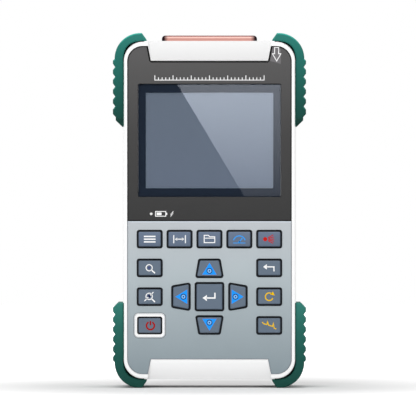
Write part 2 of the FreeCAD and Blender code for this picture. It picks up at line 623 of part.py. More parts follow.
def make_front_shell():
    piece = Piece("front_shell_form")
    sk = piece.sketch("XZ", "parting_ahead")
    housing_outline(sk)
    piece.pad(sk, "rim_ahead - parting_ahead")
    piece.fillet("rim_round", lambda p: near(-p.y, "rim_ahead"))
    sk = piece.sketch("XZ", "parting_ahead")
    housing_outline(sk, "wall")
    piece.pocket(sk, f"{SHELF_BACK} - parting_ahead", back=True)

    sk = piece.sketch("XZ", "rim_ahead")
    half, low, high = (f"{PANEL_HALF} + panel_gap", f"{PANEL_LOW} - panel_gap", f"{PANEL_HIGH} + panel_gap")
    lower = bridge_corners(LOWER_EDGE, low, -1)
    upper = bridge_corners(UPPER_EDGE, high, 1)
    outline(sk, [(minus(half), low, "panel_round")] + lower + [(half, low, "panel_round"),
                 (half, high, "panel_round")] + upper[::-1] + [(minus(half), high, "panel_round")])
    piece.pocket(sk, "panel_sunk + panel_thick")

    sk = piece.sketch("XZ", PANEL_BACK)
    rise = f"({DISPLAY_RISE} + display_fit)"
    block(sk, f"{DISPLAY_HALF} + display_fit", f"{SCREEN_MID} - {rise}", f"{SCREEN_MID} + {rise}",
          "inner_round")
    room = "(key_lip + lip_room)"
    block(sk, f"{KEYS_HALF} + {room}", f"{KEYS_LOW} - {room}", f"{KEYS_HIGH} + {room}", "outer_round")
    circle(sk, minus(LIGHT_SIDE), LIGHT_HIGH, "light_wide + lip_room")
    piece.pocket(sk, "shelf_thick")
    cut_bridge(piece, UPPER_EDGE, 1)
    cut_bridge(piece, LOWER_EDGE, -1)

    studs(piece, BOARD_SCREWS, SHELF_BACK, "board_boss", f"{SHELF_BACK} - {BOARD_FRONT}", back=True)
    holes(piece, BOARD_SCREWS, BOARD_FRONT, "small_screw_wide", "small_screw_bite + small_blind_end")
    studs(piece, CASE_SCREWS, SHELF_BACK, "case_boss", f"{SHELF_BACK} - parting_ahead", back=True)
    holes(piece, CASE_SCREWS, "parting_ahead", "screw_wide", "screw_bite + blind_end")

    sk = piece.sketch("XZ", "parting_ahead")
    housing_outline(sk, "(wall - seal_wide)/2")
    housing_outline(sk, "(wall + seal_wide)/2")
    piece.pocket(sk, "seal_wide", back=True)
    return piece


def cut_bridge(shell, edge, sign):
    """Cuts the rim down to a bridge that falls back towards the housing's end."""
    run = "(bridge_deep - bridge_bevel)"
    sk = shell.sketch("XZ", "rim_ahead", f"{-sign}*atan(bridge_fall/{run})", f"{edge} + {sign}*bridge_bevel")
    far = f"{sign}*(bridge_deep + bridge_fall)"
    inner = BRIDGE_HALF
    outer = f"({inner} + bridge_spread*(bridge_deep + bridge_fall)/(bridge_deep - rim_tall))"
    corners = [(minus(inner), "0"), (inner, "0"), (outer, far), (minus(outer), far)]
    outline(sk, corners if sign > 0 else corners[::-1])
    shell.pocket(sk, "bridge_fall + wall", back=True)
    shell.chamfer("0.9*bridge_bevel", lambda p: near(p.z, edge) and near(-p.y, "rim_ahead")
                  and abs(p.x) < size(inner) + 0.1)


def make_case_seal():
    piece = Piece("case_seal")
    sk = piece.sketch("XZ", "parting_ahead")
    housing_outline(sk, "(wall - seal_wide)/2")
    housing_outline(sk, "(wall + seal_wide)/2")
    piece.pad(sk, "seal_wide")


def make_rear_shell():
    piece = Piece("rear_shell_form")
    sk = piece.sketch("XZ", "-back_deep")
    housing_outline(sk)
    piece.pad(sk, "parting_ahead + back_deep")
    piece.fillet("back_round", lambda p: near(p.y, "back_deep"))
    sk = piece.sketch("XZ", "parting_ahead")
    housing_outline(sk, "wall")
    piece.pocket(sk, f"parting_ahead + {INNER_BACK}")
    shape_bay(piece)
    shape_stand_recess(piece)

    studs(piece, CASE_SCREWS, minus(INNER_BACK), "case_boss + boss_step", f"parting_ahead + {INNER_BACK}")
    holes(piece, CASE_SCREWS, "-back_deep", "foot_wide", "foot_sunk")
    holes(piece, CASE_SCREWS, "foot_sunk - back_deep", "screw_head_wide + screw_slack",
          f"back_deep - foot_sunk + {SCREW_SEAT}")
    holes(piece, CASE_SCREWS, SCREW_SEAT, "screw_wide + screw_slack", "screw_grip")

    sk = piece.sketch("XY", "body_high")
    rectangle(sk, "-port_wide/2 - fit", "port_front - fit", "port_wide/2 + fit", "port_back + fit",
              "outer_round")
    piece.pocket(sk, "wall")
    sk = piece.sketch("YZ", "-body_wide/2")
    circle(sk, "socket_back", "socket_high", "jack_nose + 2*fit")
    half, rise = "(data_wide/2 + data_wall + fit)", "(data_tall/2 + data_wall + fit)"
    rectangle(sk, f"socket_back - {half}", f"{DATA_HIGH} - {rise}", f"socket_back + {half}",
              f"{DATA_HIGH} + {rise}")
    piece.pocket(sk, "wall", back=True)
    shape_ears(piece)
    return piece


def shape_bay(shell):
    """The battery bay with its wall, the seat of its door, the door's screw holes and the contacts' slot."""
    sk = shell.sketch("XZ", minus(INNER_BACK))
    block(sk, f"{DOOR_HALF} + bay_wall", "bay_low - ledge - bay_wall", f"{BAY_HIGH} + ledge + bay_wall",
          "outer_round")
    shell.pad(sk, f"{INNER_BACK} - {BAY_FLOOR} + bay_wall")
    sk = shell.sketch("XZ", "-back_deep")
    block(sk, BAY_HALF, "bay_low", BAY_HIGH, "inner_round")
    shell.pocket(sk, f"back_deep - {BAY_FLOOR}", back=True)
    sk = shell.sketch("XZ", "-back_deep")
    block(sk, f"{DOOR_HALF} + door_fit", "bay_low - ledge - door_fit", f"{BAY_HIGH} + ledge + door_fit",
          "door_round")
    shell.pocket(sk, "door_thick", back=True)
    holes(shell, DOOR_SCREWS, "door_thick - back_deep", "small_screw_wide", "door_screw_bite + blind_end")
    sk = shell.sketch("XZ", minus(BAY_FLOOR))
    block(sk, "contact_wide/2 + contact_fit", f"{BAY_HIGH} - contact_drop - contact_tall - contact_fit",
          f"{BAY_HIGH} - contact_drop + contact_fit")
    shell.pocket(sk, "bay_wall", back=True)


def shape_stand_recess(shell):
    """The recess that the stand folds into, with its hinge pocket, pin holes and finger scoop."""
    half, high = "(stand_wide/2 + stand_gap)", f"({STAND_PIN_HIGH} + stand_barrel/2 + stand_gap)"
    sk = shell.sketch("XZ", minus(INNER_BACK))
    block(sk, f"{half} + stand_pin_end + wall", "stand_low - scoop_tall - wall", f"{high} + wall",
          "outer_round")
    shell.pad(sk, f"{INNER_BACK} - {HINGE_FLOOR} + stand_floor")
    sk = shell.sketch("XZ", "-back_deep")
    block(sk, half, "stand_low - stand_gap", high)
    shell.pocket(sk, f"back_deep - {RECESS_FLOOR}", back=True)
    sk = shell.sketch("XZ", "-back_deep")
    block(sk, "scoop_wide/2", "stand_low - scoop_tall", "stand_low + scoop_over", "outer_round")
    shell.pocket(sk, f"back_deep - {RECESS_FLOOR} + blind_end", back=True)
    sk = shell.sketch("XZ", "-back_deep")
    block(sk, half, f"{STAND_PIN_HIGH} - stand_barrel/2 - stand_gap - stand_swing", high)
    shell.pocket(sk, f"back_deep - {HINGE_FLOOR}", back=True)
    sk = shell.sketch("YZ")
    circle(sk, STAND_PIN_BACK, STAND_PIN_HIGH, "stand_pin")
    shell.pocket(sk, "stand_wide + 2*stand_gap + 2*stand_pin_end", middle=True)


def shape_ears(shell):
    """The two ears that hold the dust cover's hinge pin."""
    wide = "(knuckle_wide/2 + cover_gap)"
    for sign in (1, -1):
        sk = shell.sketch("YZ", f"{sign}*(cover_knuckle/2 + side_play)")
        low, high = "body_high - bumper_seat", f"{COVER_PIN_HIGH} + knuckle_wide/2 + ear_wall"
        rear, front = f"cover_pin_back + {wide}", f"cover_pin_back - {wide}"
        outline(sk, [(front, low), (rear, low), (rear, high, "ear_round"), (front, high, "ear_round")])
        shell.pad(sk, "ear_wide", back=sign < 0)
    sk = shell.sketch("YZ")
    circle(sk, "cover_pin_back", COVER_PIN_HIGH, "cover_pin")
    shell.pocket(sk, "cover_knuckle + 2*side_play + 2*ear_wide + blind_end", middle=True)


def let_in(form, label, bumpers):
    """The shell's form with the bumpers' seats cut into it."""
    seats = doc.addObject("Part::Compound", label + "_seats")
    seats.Links = [bumper.body for bumper in bumpers]
    shell = doc.addObject("Part::Cut", label)
    shell.Label = label
    shell.Base = form.body
    shell.Tool = seats
    return shell


def make_display_panel():
    piece = Piece("display_panel")
    sk = piece.sketch("XZ", PANEL_BACK)
    upper = bridge_corners(UPPER_EDGE, PANEL_HIGH, 1, "panel_gap")
    outline(sk, [(minus(PANEL_HALF), PANEL_SPLIT), (PANEL_HALF, PANEL_SPLIT),
                 (PANEL_HALF, PANEL_HIGH, "panel_round")] + upper[::-1] +
            [(minus(PANEL_HALF), PANEL_HIGH, "panel_round")])
    block(sk, WINDOW_HALF, f"{SCREEN_MID} - {WINDOW_RISE}", f"{SCREEN_MID} + {WINDOW_RISE}", "inner_round")
    circle(sk, minus(LIGHT_SIDE), LIGHT_HIGH, "light_wide")
    piece.pad(sk, "panel_thick")
    piece.chamfer("fine_edge", lambda p: near(-p.y, PANEL_FACE) and abs(p.x) < size(WINDOW_HALF) + 0.1
                  and abs(p.z - size(SCREEN_MID)) < size(WINDOW_RISE) + 0.1)


def key_places():
    """Every key: name, form, place across, place up."""
    columns = [f"{n}*{KEY_COLUMN}" for n in (-2, -1, 0, 1, 2)]
    rows = [f"{KEY_FIRST} - {n}*{KEY_ROW}" for n in (0, 1, 2, 3)]
    top = ["key_menu", "key_marker", "key_file", "key_power_meter", "key_fault_light"]
    places = [(label, "plain", x, rows[0]) for label, x in zip(top, columns)]
    left = ["key_zoom", "key_zoom_off", "key_power"]
    right = ["key_back", "key_live", "key_scan"]
    for labels, x in ((left, columns[0]), (right, columns[4])):
        places += [(label, "plain", x, z) for label, z in zip(labels, rows[1:])]
    places += [("key_enter", "enter", "0", KEY_MID), ("key_up", "up", "0", f"{KEY_MID} + {ARROW_UP}"),
               ("key_down", "down", "0", f"{KEY_MID} - {ARROW_UP}"),
               ("key_left", "left", minus(ARROW_SIDE), KEY_MID), ("key_right", "right", ARROW_SIDE, KEY_MID)]
    return places


def key_outline(sk, form, x="0", z="0", grow="0", radius="key_round"):
    """A key's outline about (x, z), grown or shrunk all round."""
    if form in ("plain", "enter"):
        wide, tall = (KEY_WIDE, "key_tall") if form == "plain" else (ENTER_WIDE, ENTER_TALL)
        half, rise = f"({wide}/2 + {grow})", f"({tall}/2 + {grow})"
        corners = [(minus(half), minus(rise)), (half, minus(rise)), (half, rise), (minus(half), rise)]
    else:
        broad, narrow = f"(arrow_broad/2 + {grow})", f"(arrow_narrow/2 + {grow})"
        deep = f"({ARROW_DEEP}/2 + {grow})"
        up = [(minus(broad), minus(deep)), (broad, minus(deep)), (narrow, deep), (minus(narrow), deep)]
        turns = {"up": lambda a, b: (a, b), "down": lambda a, b: (minus(a), minus(b)),
                 "left": lambda a, b: (minus(b), a), "right": lambda a, b: (b, minus(a))}
        corners = [turns[form](a, b) for a, b in up]
    outline(sk, [(f"{x} + {a}", f"{z} + {b}", radius) for a, b in corners])


def make_keypad_panel():
    piece = Piece("keypad_panel")
    sk = piece.sketch("XZ", PANEL_BACK)
    lower = bridge_corners(LOWER_EDGE, PANEL_LOW, -1, "panel_gap")
    split = f"{PANEL_SPLIT} - panel_gap"
    outline(sk, [(minus(PANEL_HALF), PANEL_LOW, "panel_round")] + lower +
            [(PANEL_HALF, PANEL_LOW, "panel_round"), (PANEL_HALF, split), (minus(PANEL_HALF), split)])
    piece.pad(sk, "panel_thick")
    for _, form, x, z in key_places():
        sk = piece.sketch("XZ", PANEL_FACE)
        key_outline(sk, form, x, z)
        piece.pocket(sk, "panel_thick")
    sk = piece.sketch("XZ", PANEL_FACE)
    across = f"-2*{KEY_COLUMN}"
    rectangle(sk, f"{across} - {RING_HALF}", f"key_last - {RING_RISE}", f"{across} + {RING_HALF}",
              f"key_last + {RING_RISE}", "ring_round")
    piece.pocket(sk, "ring_sunk")
    side, low, high = size(f"2*{KEY_COLUMN} + {RING_HALF}"), size(f"key_last - {RING_RISE}"), size(KEYS_HIGH)
    piece.chamfer("fine_edge", lambda p: near(-p.y, PANEL_FACE) and abs(p.x) < side + 0.1
                  and low - 0.1 < p.z < high + 0.1)


def make_power_key_ring():
    piece = Piece("power_key_ring", (f"-2*{KEY_COLUMN}", "0", "key_last"))
    sk = piece.sketch("XZ", f"{PANEL_FACE} - ring_sunk")
    block(sk, RING_HALF, minus(RING_RISE), RING_RISE, "ring_round")
    key_outline(sk, "plain")
    piece.pad(sk, "ring_sunk + ring_proud")
    piece.chamfer("fine_edge", lambda p: near(-p.y, f"{PANEL_FACE} + ring_proud")
                  and (abs(p.x) > size(KEY_WIDE) / 2 + 0.1 or abs(p.z) > size("key_tall/2") + 0.1))


def make_key(label, form, x, z):
    """A key cap with a bevelled face, a retaining lip behind the panel and a stem for its dome."""
    piece = Piece(label, (x, "0", z))
    sk = piece.sketch("XZ", KEY_LIP_BACK)
    key_outline(sk, form, grow="key_lip")
    piece.pad(sk, "key_lip_thick")
    sk = piece.sketch("XZ", KEY_LIP_FRONT)
    key_outline(sk, form, grow="-key_gap", radius="key_round*3/4")
    piece.pad(sk, f"{KEY_FACE} - {KEY_LIP_FRONT}")
    piece.chamfer("key_bevel", lambda p: near(-p.y, KEY_FACE))
    tip = f"({DOME_TOP} + key_travel + key_play)"
    sk = piece.sketch("XZ", tip)
    circle(sk, "0", "0", "stem_wide")
    piece.pad(sk, f"{KEY_LIP_BACK} - {tip}")


def make_key_sheets():
    """The sheet of contact domes on the main board and the silicone mat that lies round the domes."""
    domes = Piece("dome_sheet")
    sk = domes.sketch("XZ", BOARD_FRONT)
    block(sk, KEYS_HALF, KEYS_LOW, KEYS_HIGH)
    domes.pad(sk, "dome_sheet_thick")
    sk = domes.sketch("XZ", f"{BOARD_FRONT} + dome_sheet_thick")
    for _, _, x, z in key_places():
        circle(sk, x, z, "dome_wide")
    domes.pad(sk, "dome_rise")
    mat = Piece("keypad_mat")
    sk = mat.sketch("XZ", f"{BOARD_FRONT} + dome_sheet_thick")
    block(sk, KEYS_HALF, KEYS_LOW, KEYS_HIGH)
    for _, _, x, z in key_places():
        circle(sk, x, z, "dome_wide + 2*dome_room")
    mat.pad(sk, "mat_thick")


def make_screen():
    low, high = f"{SCREEN_MID} - {WINDOW_RISE} + fit", f"{SCREEN_MID} + {WINDOW_RISE} - fit"
    lens = Piece("screen_window")
    sk = lens.sketch("XZ", PANEL_BACK)
    block(sk, f"{WINDOW_HALF} - fit", low, high, "inner_round - fit")
    lens.pad(sk, "panel_thick - window_sunk")
    lens.chamfer("fine_edge", lambda p: near(-p.y, f"{PANEL_FACE} - window_sunk"))
    frame = Piece("screen_seal")
    sk = frame.sketch("XZ", DISPLAY_FRONT)
    block(sk, DISPLAY_HALF, low, high)
    block(sk, "active_wide/2", f"{SCREEN_MID} - active_tall/2", f"{SCREEN_MID} + active_tall/2")
    frame.pad(sk, "screen_seal_thick")
    display = Piece("display_module")
    sk = display.sketch("XZ", BOARD_FRONT)
    block(sk, DISPLAY_HALF, f"{SCREEN_MID} - {DISPLAY_RISE}", f"{SCREEN_MID} + {DISPLAY_RISE}",
          "inner_round")
    display.pad(sk, "display_thick")
    light = Piece("charge_light", (minus(LIGHT_SIDE), "0", LIGHT_HIGH))
    sk = light.sketch("XZ", BOARD_FRONT)
    circle(sk, "0", "0", "light_wide - 2*light_fit")
    light.pad(sk, f"{PANEL_FACE} - light_sunk - {BOARD_FRONT}")
    light.chamfer("fine_edge", lambda p: near(-p.y, f"{PANEL_FACE} - light_sunk"))


def make_boards():
    board = Piece("main_board")
    sk = board.sketch("XZ", BOARD_BACK)
    block(sk, "body_wide/2 - wall - board_edge", "board_low", f"{BOARD_SCREW_TOP} + board_past",
          "outer_round")
    for x, z in BOARD_SCREWS:
        circle(sk, x, z, "small_screw_wide + screw_slack")
    board.pad(sk, "board_thick")
    can = Piece("board_shield")
    sk = can.sketch("XZ", BOARD_BACK)
    block(sk, "shield_wide/2", "shield_low", "shield_low + shield_tall", "inner_round")
    can.pad(sk, "shield_deep", back=True)
    can.chamfer("soft_edge", lambda p: near(-p.y, f"{BOARD_BACK} - shield_deep"))


def make_optics():
    """The measuring module with its lid groove, the fibre tray on it and the fibre's coil."""
    module = Piece("optical_module")
    sk = module.sketch("XZ", BOARD_BACK)
    block(sk, OPTICS_HALF, OPTICS_LOW, OPTICS_HIGH, "optics_round")
    module.pad(sk, "optics_deep", back=True)
    sk = module.sketch("XZ", OPTICS_BACK)
    for inset in ("lid_in", "(lid_in + lid_groove)"):
        block(sk, f"{OPTICS_HALF} - {inset}", f"{OPTICS_LOW} + {inset}", f"{OPTICS_HIGH} - {inset}")
    module.pocket(sk, "lid_groove_deep", back=True)
    tray = Piece("fibre_tray", ("0", "0", OPTICS_MID))
    sk = tray.sketch("XZ", OPTICS_BACK)
    circle(sk, "0", "0", "optics_tall")
    tray.pad(sk, "tray_deep", back=True)
    sk = tray.sketch("XZ", f"{OPTICS_BACK} - tray_deep")
    circle(sk, "0", "0", "optics_tall - 2*tray_wall")
    circle(sk, "0", "0", "optics_tall - 2*coil_in - 2*coil_wide")
    tray.pocket(sk, "tray_deep - tray_floor", back=True)
    coil = Piece("fibre_coil", ("0", "0", OPTICS_MID))
    sk = coil.sketch("XZ", f"{OPTICS_BACK} - tray_floor")
    circle(sk, "0", "0", "optics_tall - 2*coil_in")
    circle(sk, "0", "0", "optics_tall - 2*coil_in - 2*coil_wide")
    coil.pad(sk, "coil_thick", back=True)


def make_battery():
    """The battery pack of three cells in one wrap, and its contact block."""
    pack = Piece("battery_pack")
    middle, half = f"({BAY_FLOOR} + cell_wide/2)", f"({CELLS}*cell_wide/2)"
    sk = pack.sketch("XY", "bay_low + cell_end")
    rectangle(sk, minus(half), f"{middle} - cell_wide/2", half, f"{middle} + cell_wide/2",
              "cell_wide/2 - cell_seam")
    pack.pad(sk, "cell_long")
    for sign in (-1, 1):
        for face in (-1, 1):
            sk = pack.sketch("XY", "bay_low + cell_end")
            edge = f"{middle} + {face}*cell_wide/2"
            valley = f"{sign}*cell_wide/2"
            outline(sk, [(f"{valley} - valley_half", edge), (valley, f"{edge} - {face}*valley_deep"),
                         (f"{valley} + valley_half", edge)])
            pack.pocket(sk, "cell_long", back=True)
    contacts = Piece("battery_contacts")
    sk = contacts.sketch("XZ", minus(BAY_FLOOR))
    block(sk, "contact_wide/2", f"{BAY_HIGH} - contact_drop - contact_tall", f"{BAY_HIGH} - contact_drop")
    contacts.pad(sk, f"{BOARD_BACK} + {BAY_FLOOR}")


def make_battery_door():
    door = Piece("battery_door")
    sk = door.sketch("XZ", "-back_deep")
    block(sk, DOOR_HALF, "bay_low - ledge", f"{BAY_HIGH} + ledge", "door_round")
    door.pad(sk, "door_thick")
    door.chamfer("soft_edge", lambda p: near(p.y, "back_deep"))
    holes(door, DOOR_SCREWS, "-back_deep", "small_screw_wide + screw_slack", "door_thick")
    holes(door, DOOR_SCREWS, "-back_deep", "small_head_wide + screw_slack", "small_head_tall")
    sk = door.sketch("XZ", "-back_deep")
    for number in range(GRIP_GROOVES):
        low = f"{BAY_HIGH} - groove_drop - {number}*groove_pitch"
        block(sk, "groove_half", low, f"{low} + groove_tall")
    door.pocket(sk, "groove_deep", back=True)


def make_port_tray():
    tray = Piece("port_tray")
    sk = tray.sketch("XY", PORT_FLOOR)
    rectangle(sk, "-port_wide/2", "port_front", "port_wide/2", "port_back", "outer_round")
    tray.pad(sk, "port_deep")
    sk = tray.sketch("XY", "body_high - wall")
    rectangle(sk, "-port_wide/2 - port_lip", "port_front - port_lip", "port_wide/2 + port_lip",
              "port_back + port_lip", "outer_round")
    tray.pad(sk, "port_lip_thick", back=True)
    sk = tray.sketch("XY", "body_high")
    rectangle(sk, "port_wall - port_wide/2", "port_front + port_wall", "port_wide/2 - port_wall",
              "port_back - port_wall", "inner_round")
    tray.pocket(sk, "port_deep - port_wall")
    sk = tray.sketch("XY", f"{PORT_FLOOR} + port_wall")
    for x in ("-port_pitch", "0", "port_pitch"):
        circle(sk, x, "port_mid", "adapter_wide")
    tray.pocket(sk, "port_wall")


def make_port(name, x, barrel, hollow):
    """An adapter that stands in the tray's floor, and the ceramic sleeve in its bore."""
    adapter = Piece(name + "_adapter", (x, "port_mid", PORT_FLOOR))
    sk = adapter.sketch("XZ")
    flange, top = "(port_wall + adapter_flange_thick)", "(port_wall + adapter_tall)"
    corners = [("sleeve_wide/2", "-adapter_below"), ("adapter_wide/2", "-adapter_below"),
               ("adapter_wide/2", "port_wall"), ("adapter_flange/2", "port_wall"),
               ("adapter_flange/2", flange), (f"{barrel}/2", flange),
               (f"{barrel}/2", f"{top} - soft_edge"), (f"{barrel}/2 - soft_edge", top)]
    if hollow:
        seat = "port_wall + adapter_seat"
        corners += [("adapter_bore/2", top), ("adapter_bore/2", seat), ("sleeve_wide/2", seat)]
    else:
        corners += [("sleeve_wide/2", top)]
    outline(sk, corners)
    adapter.turn("Revolution", sk)
    if hollow:
        sk = adapter.sketch("XY", top)
        rectangle(sk, "-adapter_slot/2", "adapter_bore/2 - fit", "adapter_slot/2", "adapter_wide/2 + fit")
        adapter.pocket(sk, "adapter_slot_deep")
    sleeve = Piece(name + "_sleeve", (x, "port_mid", PORT_FLOOR))
    sk = sleeve.sketch("XY", f"{top} - sleeve_sunk - sleeve_long")
    circle(sk, "0", "0", "sleeve_wide")
    circle(sk, "0", "0", "ferrule")
    sleeve.pad(sk, "sleeve_long")


def make_dust_cover():
    piece = Piece("dust_cover")
    sk = piece.sketch("XZ", "-cover_back")
    outline(sk, [("-cover_wide/2", COVER_LOW), ("cover_wide/2", COVER_LOW),
                 ("cover_wide/2", COVER_HIGH, "cover_round"), ("-cover_wide/2", COVER_HIGH, "cover_round")])
    piece.pad(sk, "cover_back - cover_front")
    piece.chamfer("soft_edge", lambda p: near(p.y, "cover_front") and near(p.z, COVER_HIGH, 0.1))
    sk = piece.sketch("XY", COVER_LOW)
    rectangle(sk, "cover_wall - cover_wide/2", "cover_front + cover_wall", "cover_wide/2 - cover_wall",
              "cover_back - cover_wall", "inner_round")
    piece.pocket(sk, f"{COVER_HIGH} - cover_wall - {COVER_LOW}", back=True)
    sk = piece.sketch("YZ")
    circle(sk, "cover_pin_back", COVER_PIN_HIGH, "knuckle_wide")
    piece.pad(sk, "cover_knuckle", middle=True)
    sk = piece.sketch("YZ")
    rectangle(sk, "cover_back - cover_wall/2", f"{COVER_PIN_HIGH} - web_half", "cover_pin_back",
              f"{COVER_PIN_HIGH} + 2*web_half")
    piece.pad(sk, "cover_knuckle", middle=True)
    sk = piece.sketch("YZ")
    circle(sk, "cover_pin_back", COVER_PIN_HIGH, "cover_pin + 2*hinge_play")
    piece.pocket(sk, "cover_knuckle", middle=True)
    pin = Piece("dust_cover_pin")
    sk = pin.sketch("YZ")
    circle(sk, "cover_pin_back", COVER_PIN_HIGH, "cover_pin")
    pin.pad(sk, "cover_knuckle + 2*side_play + 2*ear_wide", middle=True)


def make_stand():
    piece = Piece("stand")
    sk = piece.sketch("XZ", minus(STAND_BACK))
    outline(sk, [("-stand_wide/2", "stand_low", "stand_round"), ("stand_wide/2", "stand_low", "stand_round"),
                 ("stand_wide/2", STAND_PIN_HIGH), ("-stand_wide/2", STAND_PIN_HIGH)])
    piece.pad(sk, "stand_thick")
    piece.chamfer("soft_edge", lambda p: near(p.y, STAND_BACK) and p.z < size(STAND_PIN_HIGH) - 0.1)
    sk = piece.sketch("YZ")
    circle(sk, STAND_PIN_BACK, STAND_PIN_HIGH, "stand_barrel")
    piece.pad(sk, "stand_wide - 2*side_play", middle=True)
    sk = piece.sketch("XZ", minus(STAND_BACK))
    block(sk, "stand_wide/2 - stand_frame", "stand_low + stand_frame", f"{STAND_PIN_HIGH} - stand_frame",
          "outer_round")
    piece.pocket(sk, "stand_panel_deep", back=True)
    sk = piece.sketch("YZ")
    circle(sk, STAND_PIN_BACK, STAND_PIN_HIGH, "stand_pin + 2*hinge_play")
    piece.pocket(sk, "stand_wide", middle=True)
    pin = Piece("stand_pin")
    sk = pin.sketch("YZ")
    circle(sk, STAND_PIN_BACK, STAND_PIN_HIGH, "stand_pin")
    pin.pad(sk, "stand_wide + 2*stand_gap + 2*stand_pin_end", middle=True)


def make_side_sockets():
    board = Piece("socket_board")
    sk = board.sketch("YZ", "wall - body_wide/2")
    rectangle(sk, f"{SOCKET_FACE} - socket_board_thick", f"{DATA_HIGH} - socket_board_end", SOCKET_FACE,
              "socket_high + socket_board_end")
    board.pad(sk, "socket_long")
    jack = Piece("charging_socket", ("0", "0", "socket_high"))
    sk = jack.sketch("YZ", "wall - body_wide/2")
    rectangle(sk, SOCKET_FACE, "-socket_wide/2", f"{SOCKET_FACE} + socket_wide", "socket_wide/2",
              "inner_round")
    jack.pad(sk, "socket_long - wall")
    sk = jack.sketch("YZ", SOCKET_MOUTH)
    circle(sk, "socket_back", "0", "jack_nose")
    jack.pad(sk, "wall")
    sk = jack.sketch("YZ", SOCKET_MOUTH)
    circle(sk, "socket_back", "0", "jack_hole")
    circle(sk, "socket_back", "0", "jack_pin")
    jack.pocket(sk, "jack_deep", back=True)
    data = Piece("data_socket", ("0", "0", DATA_HIGH))
    for edge, step, deep in (("data_wall", data.pad, "data_long"), ("0", data.pocket, "data_deep")):
        sk = data.sketch("YZ", SOCKET_MOUTH)
        half, rise = f"(data_wide/2 + {edge})", f"(data_tall/2 + {edge})"
        rectangle(sk, f"socket_back - {half}", minus(rise), f"socket_back + {half}", rise,
                  f"soft_edge + {edge}/2")
        step(sk, deep, back=edge == "0")


def studs(piece, places, plane, wide, length, back=False):
    """The same round bar at every place."""
    sk = piece.sketch("XZ", plane)
    for x, z in places:
        circle(sk, x, z, wide)
    piece.pad(sk, length, back)


def holes(piece, places, plane, wide, deep):
    """The same round hole, from a plane towards the front, at every place."""
    sk = piece.sketch("XZ", plane)
    for x, z in places:
        circle(sk, x, z, wide)
    piece.pocket(sk, deep, back=True)


def make_fasteners():
    case = Piece("case_screws")
    studs(case, CASE_SCREWS, SCREW_SEAT, "screw_wide", "screw_grip + screw_bite")
    studs(case, CASE_SCREWS, SCREW_SEAT, "screw_head_wide", "screw_head_tall", back=True)
    board = Piece("board_screws")
    studs(board, BOARD_SCREWS, BOARD_BACK, "small_screw_wide", "board_thick + small_screw_bite")
    studs(board, BOARD_SCREWS, BOARD_BACK, "small_head_wide", "small_head_tall", back=True)
    door = Piece("door_screws")
    seat = "small_head_tall - back_deep"
    studs(door, DOOR_SCREWS, seat, "small_screw_wide", "door_thick - small_head_tall + door_screw_bite")
    studs(door, DOOR_SCREWS, seat, "small_head_wide", "small_head_tall", back=True)
    feet = Piece("rear_feet")
    studs(feet, CASE_SCREWS, "foot_sunk - back_deep", "foot_wide", "foot_sunk + foot_proud", back=True)
    feet.chamfer("soft_edge", lambda p: near(p.y, "back_deep + foot_proud"))


def write_all():
    os.makedirs("parts", exist_ok=True)
    doc.recompute()
    for thing in doc.Objects:
        if any(word in thing.State for word in ("Invalid", "Error")):
            raise ValueError(thing.Name + " is not built")
    hidden = ("front_shell_form", "rear_shell_form")
    nodes = [thing for thing in doc.Objects
             if thing.TypeId in ("PartDesign::Body", "Part::Cut") and thing.Label not in hidden]
    for node in nodes:
        if node.Shape.isNull() or not node.Shape.isValid():
            raise ValueError(node.Label + " has no valid shape")
    for node in nodes:
        node.Shape.exportStep(f"parts/{node.Label}.step")


bumpers = [make_bumper(side, upper) for side, upper in BUMPERS]
let_in(make_front_shell(), "front_shell", bumpers)
let_in(make_rear_shell(), "rear_shell", bumpers)
make_case_seal()
make_display_panel()
make_keypad_panel()
make_power_key_ring()
for key in key_places():
    make_key(*key)
make_key_sheets()
make_screen()
make_boards()
make_optics()
make_battery()
make_battery_door()
make_port_tray()
make_port("test", "-port_pitch", "adapter_wide", hollow=True)
make_port("meter", "0", "meter_wide", hollow=False)
make_port("red_light", "port_pitch", "light_port_wide", hollow=False)
make_dust_cover()
make_stand()
make_side_sockets()
make_fasteners()
write_all()
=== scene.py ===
import bpy
import bmesh
import json
import math
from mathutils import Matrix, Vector


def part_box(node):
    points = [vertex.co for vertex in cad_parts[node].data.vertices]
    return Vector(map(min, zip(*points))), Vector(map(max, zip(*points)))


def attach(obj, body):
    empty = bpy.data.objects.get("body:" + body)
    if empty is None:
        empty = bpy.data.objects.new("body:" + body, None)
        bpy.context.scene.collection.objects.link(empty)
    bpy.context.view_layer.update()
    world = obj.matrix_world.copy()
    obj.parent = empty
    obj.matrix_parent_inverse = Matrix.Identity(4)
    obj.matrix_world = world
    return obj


# Looks of a handheld optical time domain reflectometer: finishes for its imported pieces, the marks printed on
# them, lines of painted shade and painted highlight, and a small white studio. Blender's lengths are metres;
# MM turns millimetres into them.
MM = 0.001

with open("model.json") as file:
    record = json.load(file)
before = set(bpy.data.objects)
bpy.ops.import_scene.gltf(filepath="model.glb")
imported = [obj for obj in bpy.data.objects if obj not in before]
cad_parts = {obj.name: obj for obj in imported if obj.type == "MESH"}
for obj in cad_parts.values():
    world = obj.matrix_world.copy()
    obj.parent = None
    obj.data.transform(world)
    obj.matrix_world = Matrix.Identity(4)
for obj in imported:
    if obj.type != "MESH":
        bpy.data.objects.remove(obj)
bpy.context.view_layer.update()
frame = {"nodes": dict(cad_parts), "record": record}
nodes = frame["nodes"]


# ---------------------------------------------------------------- how a finish is made

TESTER_SPAN = (0.0, 0.2)    # a finish without a span of its own runs over the whole tester
CLOUD_SIZE = 14 * MM        # soft unevenness of a moulded or sprayed colour
SCUFF_SIZE = 5 * MM         # patches rubbed by hands
# Wear starts where the noise is over the first value, is full at the second, and hides at most the third.
SCUFF_STARTS, SCUFF_FULL, SCUFF_MOST = 0.62, 0.75, 0.35


